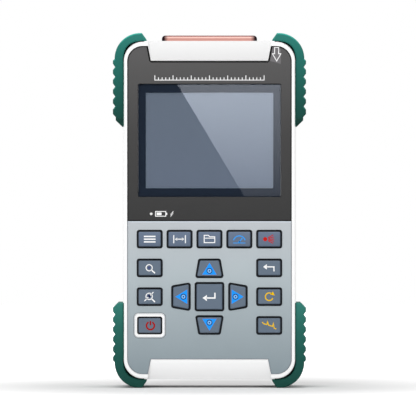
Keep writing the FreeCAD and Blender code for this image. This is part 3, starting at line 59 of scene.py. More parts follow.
def colour(code):
    """sRGB hex to linear RGBA."""
    values = [int(code[i:i + 2], 16) / 255 for i in (1, 3, 5)]
    return [v / 12.92 if v <= 0.04045 else ((v + 0.055) / 1.055) ** 2.4 for v in values] + [1.0]


def add(tree, kind, settings=None, links=None, stops=()):
    """Adds a node, sets its properties, sockets and colour stops, and links other outputs to its inputs."""
    made = tree.nodes.new(kind)
    for name, value in (settings or {}).items():
        if isinstance(name, str) and hasattr(made, name):
            setattr(made, name, value)
        else:
            made.inputs[name].default_value = value
    for name, output in (links or {}).items():
        tree.links.new(output, made.inputs[name])
    for number, (spot, code) in enumerate(stops):
        elements = made.color_ramp.elements
        stop = elements[number] if number < 2 else elements.new(spot)
        stop.position = spot
        stop.color = colour(code)
    return made


def spread(codes):
    """Colours with their places from 0 to 1: evenly spread, unless each brings its own place."""
    if isinstance(codes[0], tuple):
        return codes
    codes = codes * 2 if len(codes) == 1 else codes
    return [(number / (len(codes) - 1), code) for number, code in enumerate(codes)]


def new_finish(name):
    """A material with an empty node tree."""
    made = bpy.data.materials.new(name)
    made.use_nodes = True
    made.node_tree.nodes.clear()
    return made, made.node_tree


def share_of(tree, axes, kind, first, last):
    """Where a part of the surface takes a colour of its own: 0 at first, 1 at last.

    kind is "turn" where the surface turns away from the front (1 faces it, 0 is square to it), "rise" where
    it looks up, "across" towards both ends and "deep" behind a depth (both in metres), or "lean" where it
    leans back by the cosine first, give or take last.
    """
    surface = add(tree, "ShaderNodeNewGeometry")
    facing = add(tree, "ShaderNodeSeparateXYZ", links={"Vector": surface.outputs["True Normal"]})
    measured = {"turn": facing.outputs["Y"], "lean": facing.outputs["Y"], "rise": facing.outputs["Z"],
                "across": axes.outputs["X"], "deep": axes.outputs["Y"]}[kind]
    if kind in ("turn", "lean", "across"):
        measured = add(tree, "ShaderNodeMath", {"operation": "ABSOLUTE"}, {0: measured}).outputs[0]
    if kind == "lean":
        near = add(tree, "ShaderNodeMath", {"operation": "COMPARE", 1: first, 2: last}, {0: measured})
        return near.outputs[0]
    between = add(tree, "ShaderNodeMapRange", {"From Min": first, "From Max": last}, {"Value": measured})
    return between.outputs["Result"]


def finish_of(name, colours, rough, grain_mm, relief_mm, span=None, mottle=0.06, wear=None, edges=(),
              **shader):
    """A procedural surface: colours along the piece's height, slight mottling, a grain in bump and roughness.

    colours: hex codes from the lower end of span (metres) to its upper end. rough: lowest and highest
    roughness. grain_mm, relief_mm: size and height of the grain. mottle: the most that the colour varies by.
    wear: hex that shows on worn spots. shader: values for the shader's own sockets.
    edges: painted shade and painted highlight, each (kind, first, last, colours), with kind, first and last as
    share_of says.
    """
    made, tree = new_finish(name)
    place = add(tree, "ShaderNodeTexCoord")
    axes = add(tree, "ShaderNodeSeparateXYZ", links={"Vector": place.outputs["Object"]})
    low, high = span or TESTER_SPAN
    along = add(tree, "ShaderNodeMapRange", {"From Min": low, "From Max": high}, {"Value": axes.outputs["Z"]})
    ramp = add(tree, "ShaderNodeValToRGB", {}, {"Fac": along.outputs["Result"]}, spread(colours))
    cloud = add(tree, "ShaderNodeTexNoise", {"Scale": 1 / CLOUD_SIZE, "Detail": 4.0},
                {"Vector": place.outputs["Object"]})
    shade = add(tree, "ShaderNodeMapRange", {"To Min": 1 - mottle, "To Max": 1 + mottle},
                {"Value": cloud.outputs["Fac"]})
    tint = add(tree, "ShaderNodeVectorMath", {"operation": "SCALE"},
               {0: ramp.outputs["Color"], "Scale": shade.outputs["Result"]})
    paint = tint.outputs["Vector"]
    if wear:
        scuff = add(tree, "ShaderNodeTexNoise", {"Scale": 1 / SCUFF_SIZE, "Detail": 8.0, "Roughness": 0.75},
                    {"Vector": place.outputs["Object"]})
        spots = add(tree, "ShaderNodeMapRange",
                    {"From Min": SCUFF_STARTS, "From Max": SCUFF_FULL, "To Max": SCUFF_MOST},
                    {"Value": scuff.outputs["Fac"]})
        worn = add(tree, "ShaderNodeMix", {"data_type": "RGBA", 7: colour(wear)},
                   {0: spots.outputs["Result"], 6: paint})
        paint = worn.outputs[2]
    for kind, first, last, codes in edges:
        other = add(tree, "ShaderNodeValToRGB", {}, {"Fac": along.outputs["Result"]}, spread(codes))
        edged = add(tree, "ShaderNodeMix", {"data_type": "RGBA"},
                    {0: share_of(tree, axes, kind, first, last), 6: paint, 7: other.outputs["Color"]})
        paint = edged.outputs[2]
    grain = add(tree, "ShaderNodeTexNoise", {"Scale": 1 / (grain_mm * MM), "Detail": 3.0, "Roughness": 0.6},
                {"Vector": place.outputs["Object"]})
    gloss = add(tree, "ShaderNodeMapRange", {"To Min": rough[0], "To Max": rough[1]},
                {"Value": grain.outputs["Fac"]})
    bump = add(tree, "ShaderNodeBump", {"Strength": 1.0, "Distance": relief_mm * MM},
               {"Height": grain.outputs["Fac"]})
    body = add(tree, "ShaderNodeBsdfPrincipled", shader,
               {"Base Color": paint, "Roughness": gloss.outputs["Result"], "Normal": bump.outputs["Normal"]})
    add(tree, "ShaderNodeOutputMaterial", links={"Surface": body.outputs["BSDF"]})
    return made


def clear_pane(name):
    """A clear flat sheet: see-through, with a mirror reflection and faint wipe marks in it."""
    made, tree = new_finish(name)
    place = add(tree, "ShaderNodeTexCoord")
    wipe = add(tree, "ShaderNodeTexNoise", {"Scale": 1 / (9 * MM), "Detail": 5.0},
               {"Vector": place.outputs["Object"]})
    smear = add(tree, "ShaderNodeMapRange", {"From Min": 0.45, "From Max": 0.9, "To Max": 0.02},
                {"Value": wipe.outputs["Fac"]})
    mirror = add(tree, "ShaderNodeBsdfGlossy", {"Color": colour("#ffffff")},
                 {"Roughness": smear.outputs["Result"]})
    clear = add(tree, "ShaderNodeBsdfTransparent", {"Color": colour("#fafcff")})
    # Acrylic returns four hundredths of the light square on and all of it at a glancing angle (Schlick).
    tilt = add(tree, "ShaderNodeLayerWeight", {"Blend": 0.5})
    steep = add(tree, "ShaderNodeMath", {"operation": "POWER", 1: 5.0}, {0: tilt.outputs["Facing"]})
    back = add(tree, "ShaderNodeMapRange", {"To Min": 0.039, "To Max": 1.0}, {"Value": steep.outputs[0]})
    both = add(tree, "ShaderNodeMixShader",
               links={0: back.outputs["Result"], 1: clear.outputs[0], 2: mirror.outputs[0]})
    add(tree, "ShaderNodeOutputMaterial", links={"Surface": both.outputs[0]})
    return made


def height_of(*names):
    """The lowest and highest point of some nodes."""
    boxes = [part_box(name) for name in names]
    return min(b[0].z for b in boxes), max(b[1].z for b in boxes)


# ---------------------------------------------------------------- the tester's finishes

# Real grains of moulding, spraying, grinding and plating measure 0.01 to 0.15 mm. They are too fine to show,
# so they are drawn 0.15 to 1 mm coarse, which leaves a faint unevenness in the highlights.

# ABS moulded in a spark-eroded tool: a soft broad sheen and hardly any gloss. The two bridges lean back by 14
# degrees and carry painted shade, both darker towards the bottom; the sides carry painted shade where they
# turn away.
BRIDGE_LEAN, LEAN_PLAY = 0.969, 0.014
BRIDGE_PAINTED_SHADE = [(0.0, "#ebebeb"), (0.055, "#ffffff"), (0.93, "#d6d6d6"), (1.0, "#eaeaea")]
WHITE_PAINTED_SHADE = (("lean", BRIDGE_LEAN, LEAN_PLAY, BRIDGE_PAINTED_SHADE), ("turn", 0.5, 0.2, ["#e9e9e9"]))
white_abs = finish_of("white_abs_moulded", ["#fafafa", "#fcfcfc", "#fdfdfd"], (0.42, 0.52), 0.35, 0.004,
                      height_of("front_shell"), mottle=0.006, edges=WHITE_PAINTED_SHADE, IOR=1.5)
# The same ABS from the rear tool, made a shade duller with painted shade: rear shell, battery door and stand.
rear_abs = finish_of("white_abs_moulded_rear", ["#e7e7e7", "#e9e9e9"], (0.42, 0.52), 0.35, 0.004,
                     height_of("rear_shell"), mottle=0.006, IOR=1.5)
# Polycarbonate sprayed satin: even charcoal that lightens towards the top; painted shade darkens its rounded
# edge.
dark_panel = finish_of("charcoal_polycarbonate_sprayed", ["#292929", "#3a3939", "#545353"], (0.40, 0.50),
                       0.25, 0.003, height_of("display_panel"), mottle=0.02,
                       edges=(("turn", 0.99, 0.9, ["#1c1c1c"]),), IOR=1.55)
# The same in blue-grey: pale just under the dark panel and deeper towards the bottom, with painted shade on
# its turned edges.
grey_panel = finish_of("grey_polycarbonate_sprayed", ["#86949b", "#9eaab0", "#b1bcc1", "#bdc2c7"],
                       (0.40, 0.52), 0.25, 0.003, height_of("keypad_panel"), mottle=0.02,
                       edges=(("turn", 0.99, 0.9, ["#3c434a"]),), IOR=1.55)
# Silicone rubber keys: the face is lacquered slate blue with a satin sheen. From the rounded edge back,
# painted shade in near black frames every key.
key_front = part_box("key_file")[0].y
KEY_PAINTED_SHADE = (("deep", key_front + 0.34 * MM, key_front + 0.46 * MM, ["#1a2029"]),)
key_rubber = finish_of("slate_silicone_lacquered", ["#627182"], (0.32, 0.45), 0.3, 0.002, mottle=0.03,
                       edges=KEY_PAINTED_SHADE, IOR=1.43)
# The top row's lacquer is bluer, and paler along the upper edge; the same painted shade frames these keys.
top_key_rubber = finish_of("blue_silicone_lacquered", ["#5a687d", "#6a7a92"], (0.30, 0.42), 0.3, 0.002,
                           height_of("key_file"), mottle=0.03, edges=KEY_PAINTED_SHADE, IOR=1.43)
# Thermoplastic rubber moulded with a matt skin: deep teal, rubbed paler in patches where hands hold it, and
# darkened downwards by painted shade. The upper bumpers' bevel that looks up carries a painted highlight.
MATT = {"IOR": 1.45, "Specular IOR Level": 0.2}
upper_teal = finish_of("teal_rubber_moulded_upper", ["#083e35", "#104f46", "#175f55", "#1e6c62", "#2a7d72"],
                       (0.5, 0.68), 0.5, 0.010, height_of("bumper_upper_left"), mottle=0.04, wear="#3f8f84",
                       edges=(("rise", 0.35, 0.65, ["#3aae9f"]),), **MATT)
lower_teal = finish_of("teal_rubber_moulded_lower", ["#0d443b", "#15534a", "#1f6258", "#307a6f"],
                       (0.5, 0.68), 0.5, 0.010, height_of("bumper_lower_left"), mottle=0.04, wear="#3f8f84",
                       **MATT)
# Tinted acrylic, moulded and polished: a painted highlight runs as a light band under the cover's upper edge,
# and painted shade darkens that edge and the thick ends.
COVER_PAINTED_LIGHT = [(0.0, "#d99d93"), (0.2, "#dca398"), (0.3, "#cd9288"), (0.5, "#dfa79d"), (0.58, "#ffd0c5"),
               (0.74, "#ffd0c5"), (0.81, "#8f4d47"), (1.0, "#7d3f3a")]
red_acrylic = finish_of("copper_red_acrylic_polished", COVER_PAINTED_LIGHT, (0.10, 0.20), 0.8, 0.002,
                        height_of("dust_cover"), mottle=0.03,
                        edges=(("across", 22.8 * MM, 25.0 * MM, ["#1e0006"]),), IOR=1.49)
# Acrylic sheet with a hard coat: quite clear, with a clean reflection.
clear_window = clear_pane("clear_acrylic_hard_coated")
# Polariser film laminated on the unlit display: an even blue-grey that hardly shines.
DULL = {"IOR": 1.5, "Specular IOR Level": 0.1}
display_glass = finish_of("polariser_film_laminated", ["#737b87", "#737b84"], (0.45, 0.55), 0.6, 0.0002,
                          height_of("display_module"), mottle=0.01, **DULL)
# Foam frame, die cut and dyed navy: a flat dark edge under the window's mask.
navy_foam = finish_of("navy_foam_die_cut", ["#1d2734", "#1f2837"], (0.6, 0.7), 0.4, 0.0004,
                      height_of("screen_seal"), mottle=0.02, **DULL)
# Acrylic light pipe with a frosted end: a small soft white dot.
light_pipe = finish_of("clear_acrylic_frosted", ["#f4f4f2"], (0.2, 0.3), 0.2, 0.001, mottle=0.01, IOR=1.49)
# Nitrile rubber, moulded: near black and dull, greyed where it rubs.
black_rubber = finish_of("black_rubber_moulded", ["#161616"], (0.6, 0.75), 0.5, 0.01, mottle=0.05,
                         wear="#2a2a2a")
# Nylon, moulded: near black with a low sheen.
black_plastic = finish_of("black_nylon_moulded", ["#1a1a1b"], (0.45, 0.6), 0.4, 0.008, mottle=0.05)
# Silicone sheet, moulded: dull milky grey.
silicone = finish_of("grey_silicone_moulded", ["#9a9a96"], (0.5, 0.6), 0.5, 0.004, mottle=0.03)
# Polyester film with pressed domes: dull straw colour.
dome_film = finish_of("polyester_film_pressed", ["#cfc9b0"], (0.4, 0.5), 0.5, 0.002, mottle=0.03)
# Fibreglass board under a poured solder mask: wet-looking green, thicker in some places.
solder_mask = finish_of("fibreglass_solder_masked", ["#12502c", "#16613a"], (0.3, 0.45), 1.0, 0.01,
                        mottle=0.08)
# Steel sheet, tinned and pressed: bright grey metal, softly clouded.
tinned_steel = finish_of("tinned_steel_pressed", ["#b8b7b0"], (0.25, 0.4), 0.6, 0.004, mottle=0.05,
                         Metallic=1.0)
# Aluminium, milled and anodised: pale satin metal.
aluminium = finish_of("aluminium_milled_anodised", ["#b4b6ba"], (0.3, 0.42), 0.25, 0.003, mottle=0.04,
                      Metallic=1.0)
# PVC film shrunk over the cells: glossy strong blue with shallow ripples 2 mm apart.
shrink_film = finish_of("blue_pvc_film_shrunk", ["#1f4f9a"], (0.2, 0.3), 2.0, 0.02, mottle=0.06)
# Extruded jacket of the 0.9 mm fibre, wound up: warm yellow with ridges as wide as the fibre.
fibre_jacket = finish_of("yellow_fibre_jacket_wound", ["#d9b21c"], (0.35, 0.5), 0.9, 0.15, mottle=0.05)
# Brass, turned and nickel plated: a warm bright mirror.
nickel = finish_of("nickel_plated_brass_turned", ["#c9c6bd"], (0.14, 0.26), 0.3, 0.003, mottle=0.04,
                   Metallic=1.0)
# Zirconia ceramic, ground: ivory white with a glassy highlight.
zirconia = finish_of("zirconia_ceramic_ground", ["#f1efe8"], (0.12, 0.2), 0.2, 0.001, mottle=0.01, IOR=2.1)
# Steel, zinc plated: cool bright metal, lightly clouded.
zinc_steel = finish_of("steel_zinc_plated", ["#a9abb0"], (0.25, 0.38), 0.3, 0.004, mottle=0.06, Metallic=1.0)

SLOT_FINISHES = {
    "white_abs": white_abs, "dark_panel": dark_panel, "grey_panel": grey_panel, "key_rubber": key_rubber,
    "teal_rubber": lower_teal, "red_cover": red_acrylic, "clear_window": clear_window,
    "display_glass": display_glass, "light_pipe": light_pipe, "black_foam": black_rubber,
    "silicone": silicone, "dome_film": dome_film, "circuit_board": solder_mask, "tinned_steel": tinned_steel,
    "anodised_aluminium": aluminium, "black_plastic": black_plastic, "battery_wrap": shrink_film,
    "fibre_jacket": fibre_jacket, "nickel_brass": nickel, "zirconia": zirconia, "steel": zinc_steel,
    "black_rubber": black_rubber,
}
OWN_FINISHES = {
    "rear_shell": rear_abs, "battery_door": rear_abs, "stand": rear_abs, "screen_seal": navy_foam,
    "bumper_upper_left": upper_teal, "bumper_upper_right": upper_teal, "key_menu": top_key_rubber,
    "key_marker": top_key_rubber, "key_file": top_key_rubber, "key_power_meter": top_key_rubber,
    "key_fault_light": top_key_rubber,
}
for part in frame["record"]["subparts"]:
    dressed = nodes[part["node"]]
    dressed.data.materials.clear()
    dressed.data.materials.append(OWN_FINISHES.get(part["node"], SLOT_FINISHES[part["material_slot"]]))


# ---------------------------------------------------------------- how a mark is made

INK_THICK = 0.03 * MM
COAT_STEP = 0.01 * MM    # how much further out each coat of ink lies that covers another


def thin_finish(name, code):
    """Ink, a thin trim, or a line of painted shade or painted highlight: an even film with hardly any shine,
    so that its colour stays full.
    """
    return finish_of(name, [code], (0.4, 0.5), 0.15, 0.001, mottle=0.01, **DULL)


def doubled_area(loop):
    """Twice the area inside a loop of points: positive where it runs anticlockwise."""
    return sum(a[0] * b[1] - b[0] * a[1] for a, b in zip(loop, loop[1:] + loop[:1]))


def ribbon(points, wide, closed=False):
    """A band of constant width along points, as four-sided faces with mitred corners."""
    count = len(points)
    sides = []
    for i, point in enumerate(points):
        here = Vector(point)
        before = Vector(points[i - 1]) if i > 0 or closed else None
        after = Vector(points[(i + 1) % count]) if i < count - 1 or closed else None
        arriving = (here - before).normalized() if before is not None else None
        leaving = (after - here).normalized() if after is not None else None
        arriving = arriving or leaving
        leaving = leaving or arriving
        along = (arriving + leaving).normalized()
        normal = Vector((-along.y, along.x))
        stretch = 1 / max(0.35, normal.dot(Vector((-arriving.y, arriving.x))))    # cuts very sharp mitres off
        sides.append((here + normal * wide / 2 * stretch, here - normal * wide / 2 * stretch))
    last = count if closed else count - 1
    return [[*sides[i], *reversed(sides[(i + 1) % count])] for i in range(last)]


def arc_points(centre, radius, first, last, steps=24):
    """Points on an arc; angles in degrees, anticlockwise from the right."""
    turns = [math.radians(first + (last - first) * i / steps) for i in range(steps + 1)]
    return [(centre[0] + radius * math.cos(t), centre[1] + radius * math.sin(t)) for t in turns]


def ring(centre, radius, wide):
    return ribbon(arc_points(centre, radius, 0, 360, 32)[:-1], wide, closed=True)


def disc(centre, radius):
    return [arc_points(centre, radius, 0, 360, 24)[:-1]]


def bar(low_x, low_z, high_x, high_z):
    return [[(low_x, low_z), (high_x, low_z), (high_x, high_z), (low_x, high_z)]]


def turned(points, degrees):
    cos, sin = math.cos(math.radians(degrees)), math.sin(math.radians(degrees))
    return [(x * cos - z * sin, x * sin + z * cos) for x, z in points]


def inset(loop, by):
    """The loop moved inwards by a few tenths of a millimetre."""
    moved = []
    for i, point in enumerate(loop):
        here, before, after = Vector(point), Vector(loop[i - 1]), Vector(loop[(i + 1) % len(loop)])
        arriving, leaving = (here - before).normalized(), (after - here).normalized()
        side, other = Vector((-arriving.y, arriving.x)), Vector((-leaving.y, leaving.x))
        normal = (side + other).normalized()
        moved.append(tuple(here + normal * by / max(0.5, normal.dot(side))))
    return moved


def border(loop, wide):
    """A line of that width just inside a loop."""
    return ribbon(inset(loop, wide / 2), wide, closed=True)


def front_outline(node):
    """The outer outline of a node's front face, in millimetres and anticlockwise."""
    mesh, front_y = nodes[node].data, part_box(node)[0].y
    edges = set()
    for face in mesh.polygons:
        if face.normal.y < -0.99 and abs(face.center.y - front_y) < 0.05 * MM:
            spots = [mesh.vertices[i].co for i in face.vertices]
            spots = [(round(p.x / MM, 3), round(p.z / MM, 3)) for p in spots]
            edges.update(zip(spots, spots[1:] + spots[:1]))
    free = {a: b for a, b in edges if (b, a) not in edges}
    loops = []
    while free:
        spot = start = min(free)
        loop = []
        while spot in free:
            loop.append(spot)
            spot = free.pop(spot)
        if spot == start:
            loops.append(loop)
    widest = max(loops, key=lambda loop: max(p[0] for p in loop) - min(p[0] for p in loop))
    return widest if doubled_area(widest) > 0 else widest[::-1]


def face_of(node):
    """The middle of a node's front face."""
    low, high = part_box(node)
    return Vector(((low.x + high.x) / 2, low.y, (low.z + high.z) / 2))


def plane_of(node):
    """The point of a node's front plane at x 0 and z 0, so that marks on it keep the frame's own places."""
    return Vector((0.0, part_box(node)[0].y, 0.0))


def on_panel(x, z):
    """A point of the dark panel, in millimetres."""
    return plane_of("display_panel") + Vector((x * MM, 0.0, z * MM))


def flat_mark(name, body, middle, ink, faces, coat=0):
    """A printed mark, or a line of painted shade or painted highlight: millimetre faces about middle, which is
    a point on the surface that carries it.
    """
    work = bmesh.new()
    for face in faces:
        face = face if doubled_area(face) > 0 else face[::-1]
        flat = [(middle.x + p[0] * MM, middle.z + p[1] * MM) for p in face]
        front = [work.verts.new((x, middle.y - INK_THICK - coat * COAT_STEP, z)) for x, z in flat]
        rear = [work.verts.new((x, middle.y + INK_THICK, z)) for x, z in flat]
        work.faces.new(front)
        work.faces.new(rear[::-1])
        for i in range(len(flat)):
            j = (i + 1) % len(flat)
            work.faces.new((front[j], front[i], rear[i], rear[j]))
    bmesh.ops.recalc_face_normals(work, faces=work.faces)
    mesh = bpy.data.meshes.new(name)
    work.to_mesh(mesh)
    work.free()
    made = bpy.data.objects.new(name, mesh)
    bpy.context.scene.collection.objects.link(made)
    mesh.materials.append(INKS_AND_PAINTED_LIGHT[ink])
    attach(made, body)


# ---------------------------------------------------------------- marks on the keys

# Pad printed signs in flat colours and a screen printed mask, beside dark lines of painted shade and a pale
# line of painted highlight; then more such lines, as thin as ink.
INK_AND_PAINTED_LIGHT_CODES = {
    "white": "#f8f8f8", "blue": "#1e98fa", "sky": "#3a9cf0", "red": "#c41a12", "dark_red": "#a31208",
    "yellow": "#f0c000", "navy": "#15296a", "lens_blue": "#46517d", "eye_blue": "#7fbcf7", "brown": "#8a6a58",
    "grey": "#747274", "black": "#131313", "pale_grey": "#d3dbe4", "slate": "#8b949c", "ring_grey": "#98a3ad",
    "mask_navy": "#1c2634",
}
INKS_AND_PAINTED_LIGHT = {ink: thin_finish("flat_colour_" + ink, code) for ink, code in INK_AND_PAINTED_LIGHT_CODES.items()}
# A painted highlight: a thin line a little lighter than the film along the display's edge.
INKS_AND_PAINTED_LIGHT["display_edge_highlight"] = thin_finish("display_edge_painted_highlight", "#7d8791")
# Painted shade where the bumpers meet the rim: a deep green line along the sides, and near black painted
# shadow round the corners.
INKS_AND_PAINTED_LIGHT["lip"] = thin_finish("teal_rubber_moulded_lip", "#0b4a40")
INKS_AND_PAINTED_LIGHT["shaded_lip"] = thin_finish("teal_rubber_moulded_lip_shaded", "#04130f")

# One plain sign for each key, in millimetres about the middle of its face.
BEAM_START, BEAM_END = 1.8, 5.0
beams = []
for angle in (-28, -14, 0, 14, 28):
    beams += ribbon([(-2.2 + x, z) for x, z in turned([(BEAM_START, 0), (BEAM_END, 0)], angle)], 0.42)
KEY_MARKS = {
    # three bars
    "key_menu": ("white", [face for z in (1.5, 0.0, -1.5) for face in bar(-3.2, z - 0.36, 3.2, z + 0.36)]),
    # a span between two lines
    "key_marker": ("white", ribbon([(-3.2, 2.2), (-3.2, -2.2)], 0.55)
                   + ribbon([(3.2, 2.2), (3.2, -2.2)], 0.55) + ribbon([(-1.8, 0), (1.8, 0)], 0.5)
                   + [[(-2.6, 0), (-1.3, 0.9), (-1.3, -0.9)]] + [[(2.6, 0), (1.3, -0.9), (1.3, 0.9)]]),
    # a folder
    "key_file": ("white", ribbon([(-2.9, -1.9), (2.9, -1.9), (2.9, 1.3), (0.2, 1.3), (-0.6, 2.1),
                                  (-2.9, 2.1)], 0.5, closed=True) + bar(-2.6, 0.35, 2.6, 0.75)),
    # a gauge with its needle
    "key_power_meter": ("sky", ribbon(arc_points((0, -1.5), 3.3, 15, 165), 0.6)
                        + ribbon([(-0.1, -1.5), (1.7, 0.6)], 0.55) + disc((0, -1.5), 0.6)
                        + bar(-3.4, -2.3, 3.4, -1.9)),
    # a lamp with its beams
    "key_fault_light": ("red", disc((-2.2, 0), 1.15) + beams),
    # a lens, and a lens struck through
    "key_zoom": ("white", ring((-0.3, 0.1), 1.7, 0.5) + ribbon([(0.9, -1.1), (2.9, -2.9)], 0.7)),
    "key_zoom_off": ("white", ring((-0.3, 0.2), 1.75, 0.5) + ribbon([(1.0, -1.1), (2.9, -2.9)], 0.7)
                     + ribbon([(-2.9, -2.4), (2.1, 2.6)], 0.55)),
    # arrows that turn back
    "key_back": ("white", ribbon([(2.6, -1.9), (2.6, 0.6), (-1.4, 0.6)], 0.65)
                 + [[(-3.3, 0.6), (-1.3, -0.9), (-1.3, 2.1)]]),
    "key_enter": ("white", ribbon([(3.0, 2.2), (3.0, -0.7), (-1.6, -0.7)], 0.75)
                  + [[(-3.8, -0.7), (-1.4, -2.4), (-1.4, 1.0)]]),
    # a round arrow
    "key_live": ("yellow", ribbon(arc_points((0, 0), 2.1, 50, 340), 0.62)
                 + [[(3.0, 0.7), (0.5, 1.15), (2.0, 2.9)]]),
    # a trace that falls in steps, with two peaks
    "key_scan": ("yellow", ribbon([(-3.9, 1.9), (-2.9, 0.9), (-1.3, 0.5), (-0.9, 2.1), (-0.4, 0.2),
                                   (1.9, -0.5), (2.3, 1.2), (2.7, -1.5), (3.9, -1.9)], 0.55)),
    # the power sign
    "key_power": ("dark_red", ribbon(arc_points((0.4, -0.1), 2.15, 118, 422, 32), 0.85)
                  + bar(0.0, 0.1, 0.8, 2.5)),
}
for key, (ink, faces) in KEY_MARKS.items():
    flat_mark(key.replace("key", "mark"), key, face_of(key), ink, faces)
for key, ink, rise in (("key_zoom", "lens_blue", 0.1), ("key_zoom_off", "navy", 0.3)):
    flat_mark(key.replace("key", "mark") + "_lens", key, face_of(key), ink, disc((-0.3, rise), 0.75))

# The arrow keys carry a blue triangle on a brown edge, with a small eye in it.
TRIANGLE = [(-4.05, -3.5), (4.05, -3.5), (0.0, 3.2)]
EDGE_GROWTH, TRIANGLE_MID, EYE_MID = 1.07, -0.6, -1.35
EDGE = [(x * EDGE_GROWTH, TRIANGLE_MID + (z - TRIANGLE_MID) * EDGE_GROWTH) for x, z in TRIANGLE]
for key, angle in (("key_up", 0), ("key_left", 90), ("key_down", 180), ("key_right", 270)):
    mark, spot = key.replace("key", "mark"), face_of(key)
    eye = turned([(0.0, EYE_MID)], angle)[0]
    flat_mark(mark + "_edge", key, spot, "brown", [turned(EDGE, angle)])
    flat_mark(mark, key, spot, "blue", [turned(TRIANGLE, angle)], coat=2)
    flat_mark(mark + "_eye_ground", key, spot, "eye_blue", disc(eye, 1.2), coat=3)
    flat_mark(mark + "_eye", key, spot, "navy", ring(eye, 1.35, 0.45) + disc(eye, 0.42), coat=4)


# ---------------------------------------------------------------- marks on the dark panel

# A plain scale over the screen: ticks 2 mm apart on a base line, every fifth one longer.
TICKS, TICK_STEP, TICK_HALF, SCALE_HALF, SCALE_HIGH = 31, 2.0, 0.22, 30.0, 170.4
TICK_FOOT, SHORT_TOP, LONG_TOP = -1.2, 0.1, 1.2
ticks = []
for number in range(TICKS):
    at = TICK_STEP * number - SCALE_HALF
    ticks += bar(at - TICK_HALF, TICK_FOOT, at + TICK_HALF, SHORT_TOP if number % 5 else LONG_TOP)
base_line = bar(-SCALE_HALF - TICK_HALF, -1.55, SCALE_HALF + TICK_HALF, -1.15)
flat_mark("mark_scale", "housing", on_panel(0.0, SCALE_HIGH), "white", ticks + base_line)
# A battery and a bolt in a row with the charge light.
light_row = face_of("charge_light").z / MM
flat_mark("mark_battery", "housing", on_panel(-26.6, light_row), "white",
           ribbon([(-3.0, -1.3), (2.6, -1.3), (2.6, 1.3), (-3.0, 1.3)], 0.42, closed=True)
           + bar(2.75, -0.6, 3.4, 0.6) + bar(-2.4, -0.75, 0.3, 0.75))
flat_mark("mark_bolt", "housing", on_panel(-20.6, light_row), "white",
           [[(-0.9, -0.3), (0.2, -0.3), (0.9, 1.8)], [(0.9, 0.35), (-0.2, 0.35), (-0.9, -1.8)]])
# An outlined arrow on a grey patch in the upper right corner, pointing down.
flat_mark("arrow_patch", "housing", on_panel(0.0, 0.0), "grey",
           [[(33.2, 179.6), (39.2, 177.9), (39.2, 185.9), (37.4, 187.4), (34.9, 187.4)]])
flat_mark("arrow_mark", "housing", on_panel(36.9, 183.4), "white",
           ribbon([(-1.1, 3.6), (1.1, 3.6), (1.1, 0.1), (2.3, 0.1), (0.0, -3.9), (-2.3, 0.1), (-1.1, 0.1)],
                  0.42, closed=True), coat=2)


# ---------------------------------------------------------------- lines between the pieces of the front

# Painted shadow: black lines for the shadow gap round the dark panel, wider beside and under the bridge that
# cuts into its upper edge.
panel_outline = front_outline("display_panel")
flat_mark("display_panel_line", "housing", on_panel(0.0, 0.0), "black", border(panel_outline, 0.44))
NOTCH_HALF, NOTCH_FLOOR = 34.5, 179.0    # the bridge's notch lies within this half width, above this height
BESIDE, UNDER = 0.8, 0.7    # widths of the lines beside and under the bridge
UNDER_HALF, UNDER_MID = 32.2, 0.4    # half the length of the line under it, and its middle below the notch
notch = [p for p in panel_outline if abs(p[0]) < NOTCH_HALF and p[1] > NOTCH_FLOOR]
notch_low, panel_top = min(p[1] for p in notch), max(p[1] for p in panel_outline)
for side, name in ((-1, "bridge_line_left"), (1, "bridge_line_right")):
    feet = [p for p in notch if p[0] * side > 0 and p[1] < notch_low + 0.5]
    foot = max(feet, key=lambda p: abs(p[0]))
    heads = [p for p in panel_outline if p[0] * side > 0 and p[1] > panel_top - 0.05]
    head = min(heads, key=lambda p: abs(p[0]))
    line = [(x + side * BESIDE / 2, z) for x, z in (foot, head)]
    flat_mark(name, "housing", on_panel(0.0, 0.0), "black", ribbon(line, BESIDE), coat=1)
flat_mark("bridge_line", "housing", on_panel(0.0, notch_low - UNDER_MID), "black",
           bar(-UNDER_HALF, -UNDER / 2, UNDER_HALF, UNDER / 2), coat=1)

# Painted shade along the grey panel's edge, a pale line of painted highlight along its top, and painted shade
# round the foot of the white ring.
HIGHLIGHT_HALF, HIGHLIGHT_RISE, HIGHLIGHT_IN = 44.8, 0.28, 0.35    # half length, half width, below the edge
keypad_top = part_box("keypad_panel")[1].z / MM
flat_mark("keypad_panel_line", "housing", on_panel(0.0, 0.0), "slate",
           border(front_outline("keypad_panel"), 0.3))
flat_mark("keypad_panel_highlight", "housing", on_panel(0.0, keypad_top - HIGHLIGHT_IN), "pale_grey",
           bar(-HIGHLIGHT_HALF, -HIGHLIGHT_RISE, HIGHLIGHT_HALF, HIGHLIGHT_RISE), coat=1)
flat_mark("power_key_ring_line", "housing", plane_of("power_key_ring"), "ring_grey",
           border(front_outline("power_key_ring"), 0.2))

# A navy mask is printed on the back of the window, out to its edges; it leaves the display's area free.
AREA_HALF, AREA_RISE = 70.08 / 2, 52.56 / 2
area_mid = face_of("display_module").z / MM
area_low, area_high = area_mid - AREA_RISE, area_mid + AREA_RISE
pane_low, pane_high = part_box("screen_window")
left, right, bottom, top = (value / MM for value in (pane_low.x, pane_high.x, pane_low.z, pane_high.z))
flat_mark("screen_window_mask", "housing", Vector((0.0, pane_high.y, 0.0)), "mask_navy",
           bar(left, bottom, right, area_low) + bar(left, area_high, right, top)
           + bar(left, area_low, -AREA_HALF, area_high) + bar(AREA_HALF, area_low, right, area_high))
# A painted highlight: a thin lighter line at the display's edge, just inside the mask.
area = bar(-AREA_HALF, area_low, AREA_HALF, area_high)[0]
flat_mark("display_edge_line", "housing", plane_of("display_module"), "display_edge_highlight",
           ribbon(inset(area, 0.3), 0.45, closed=True))
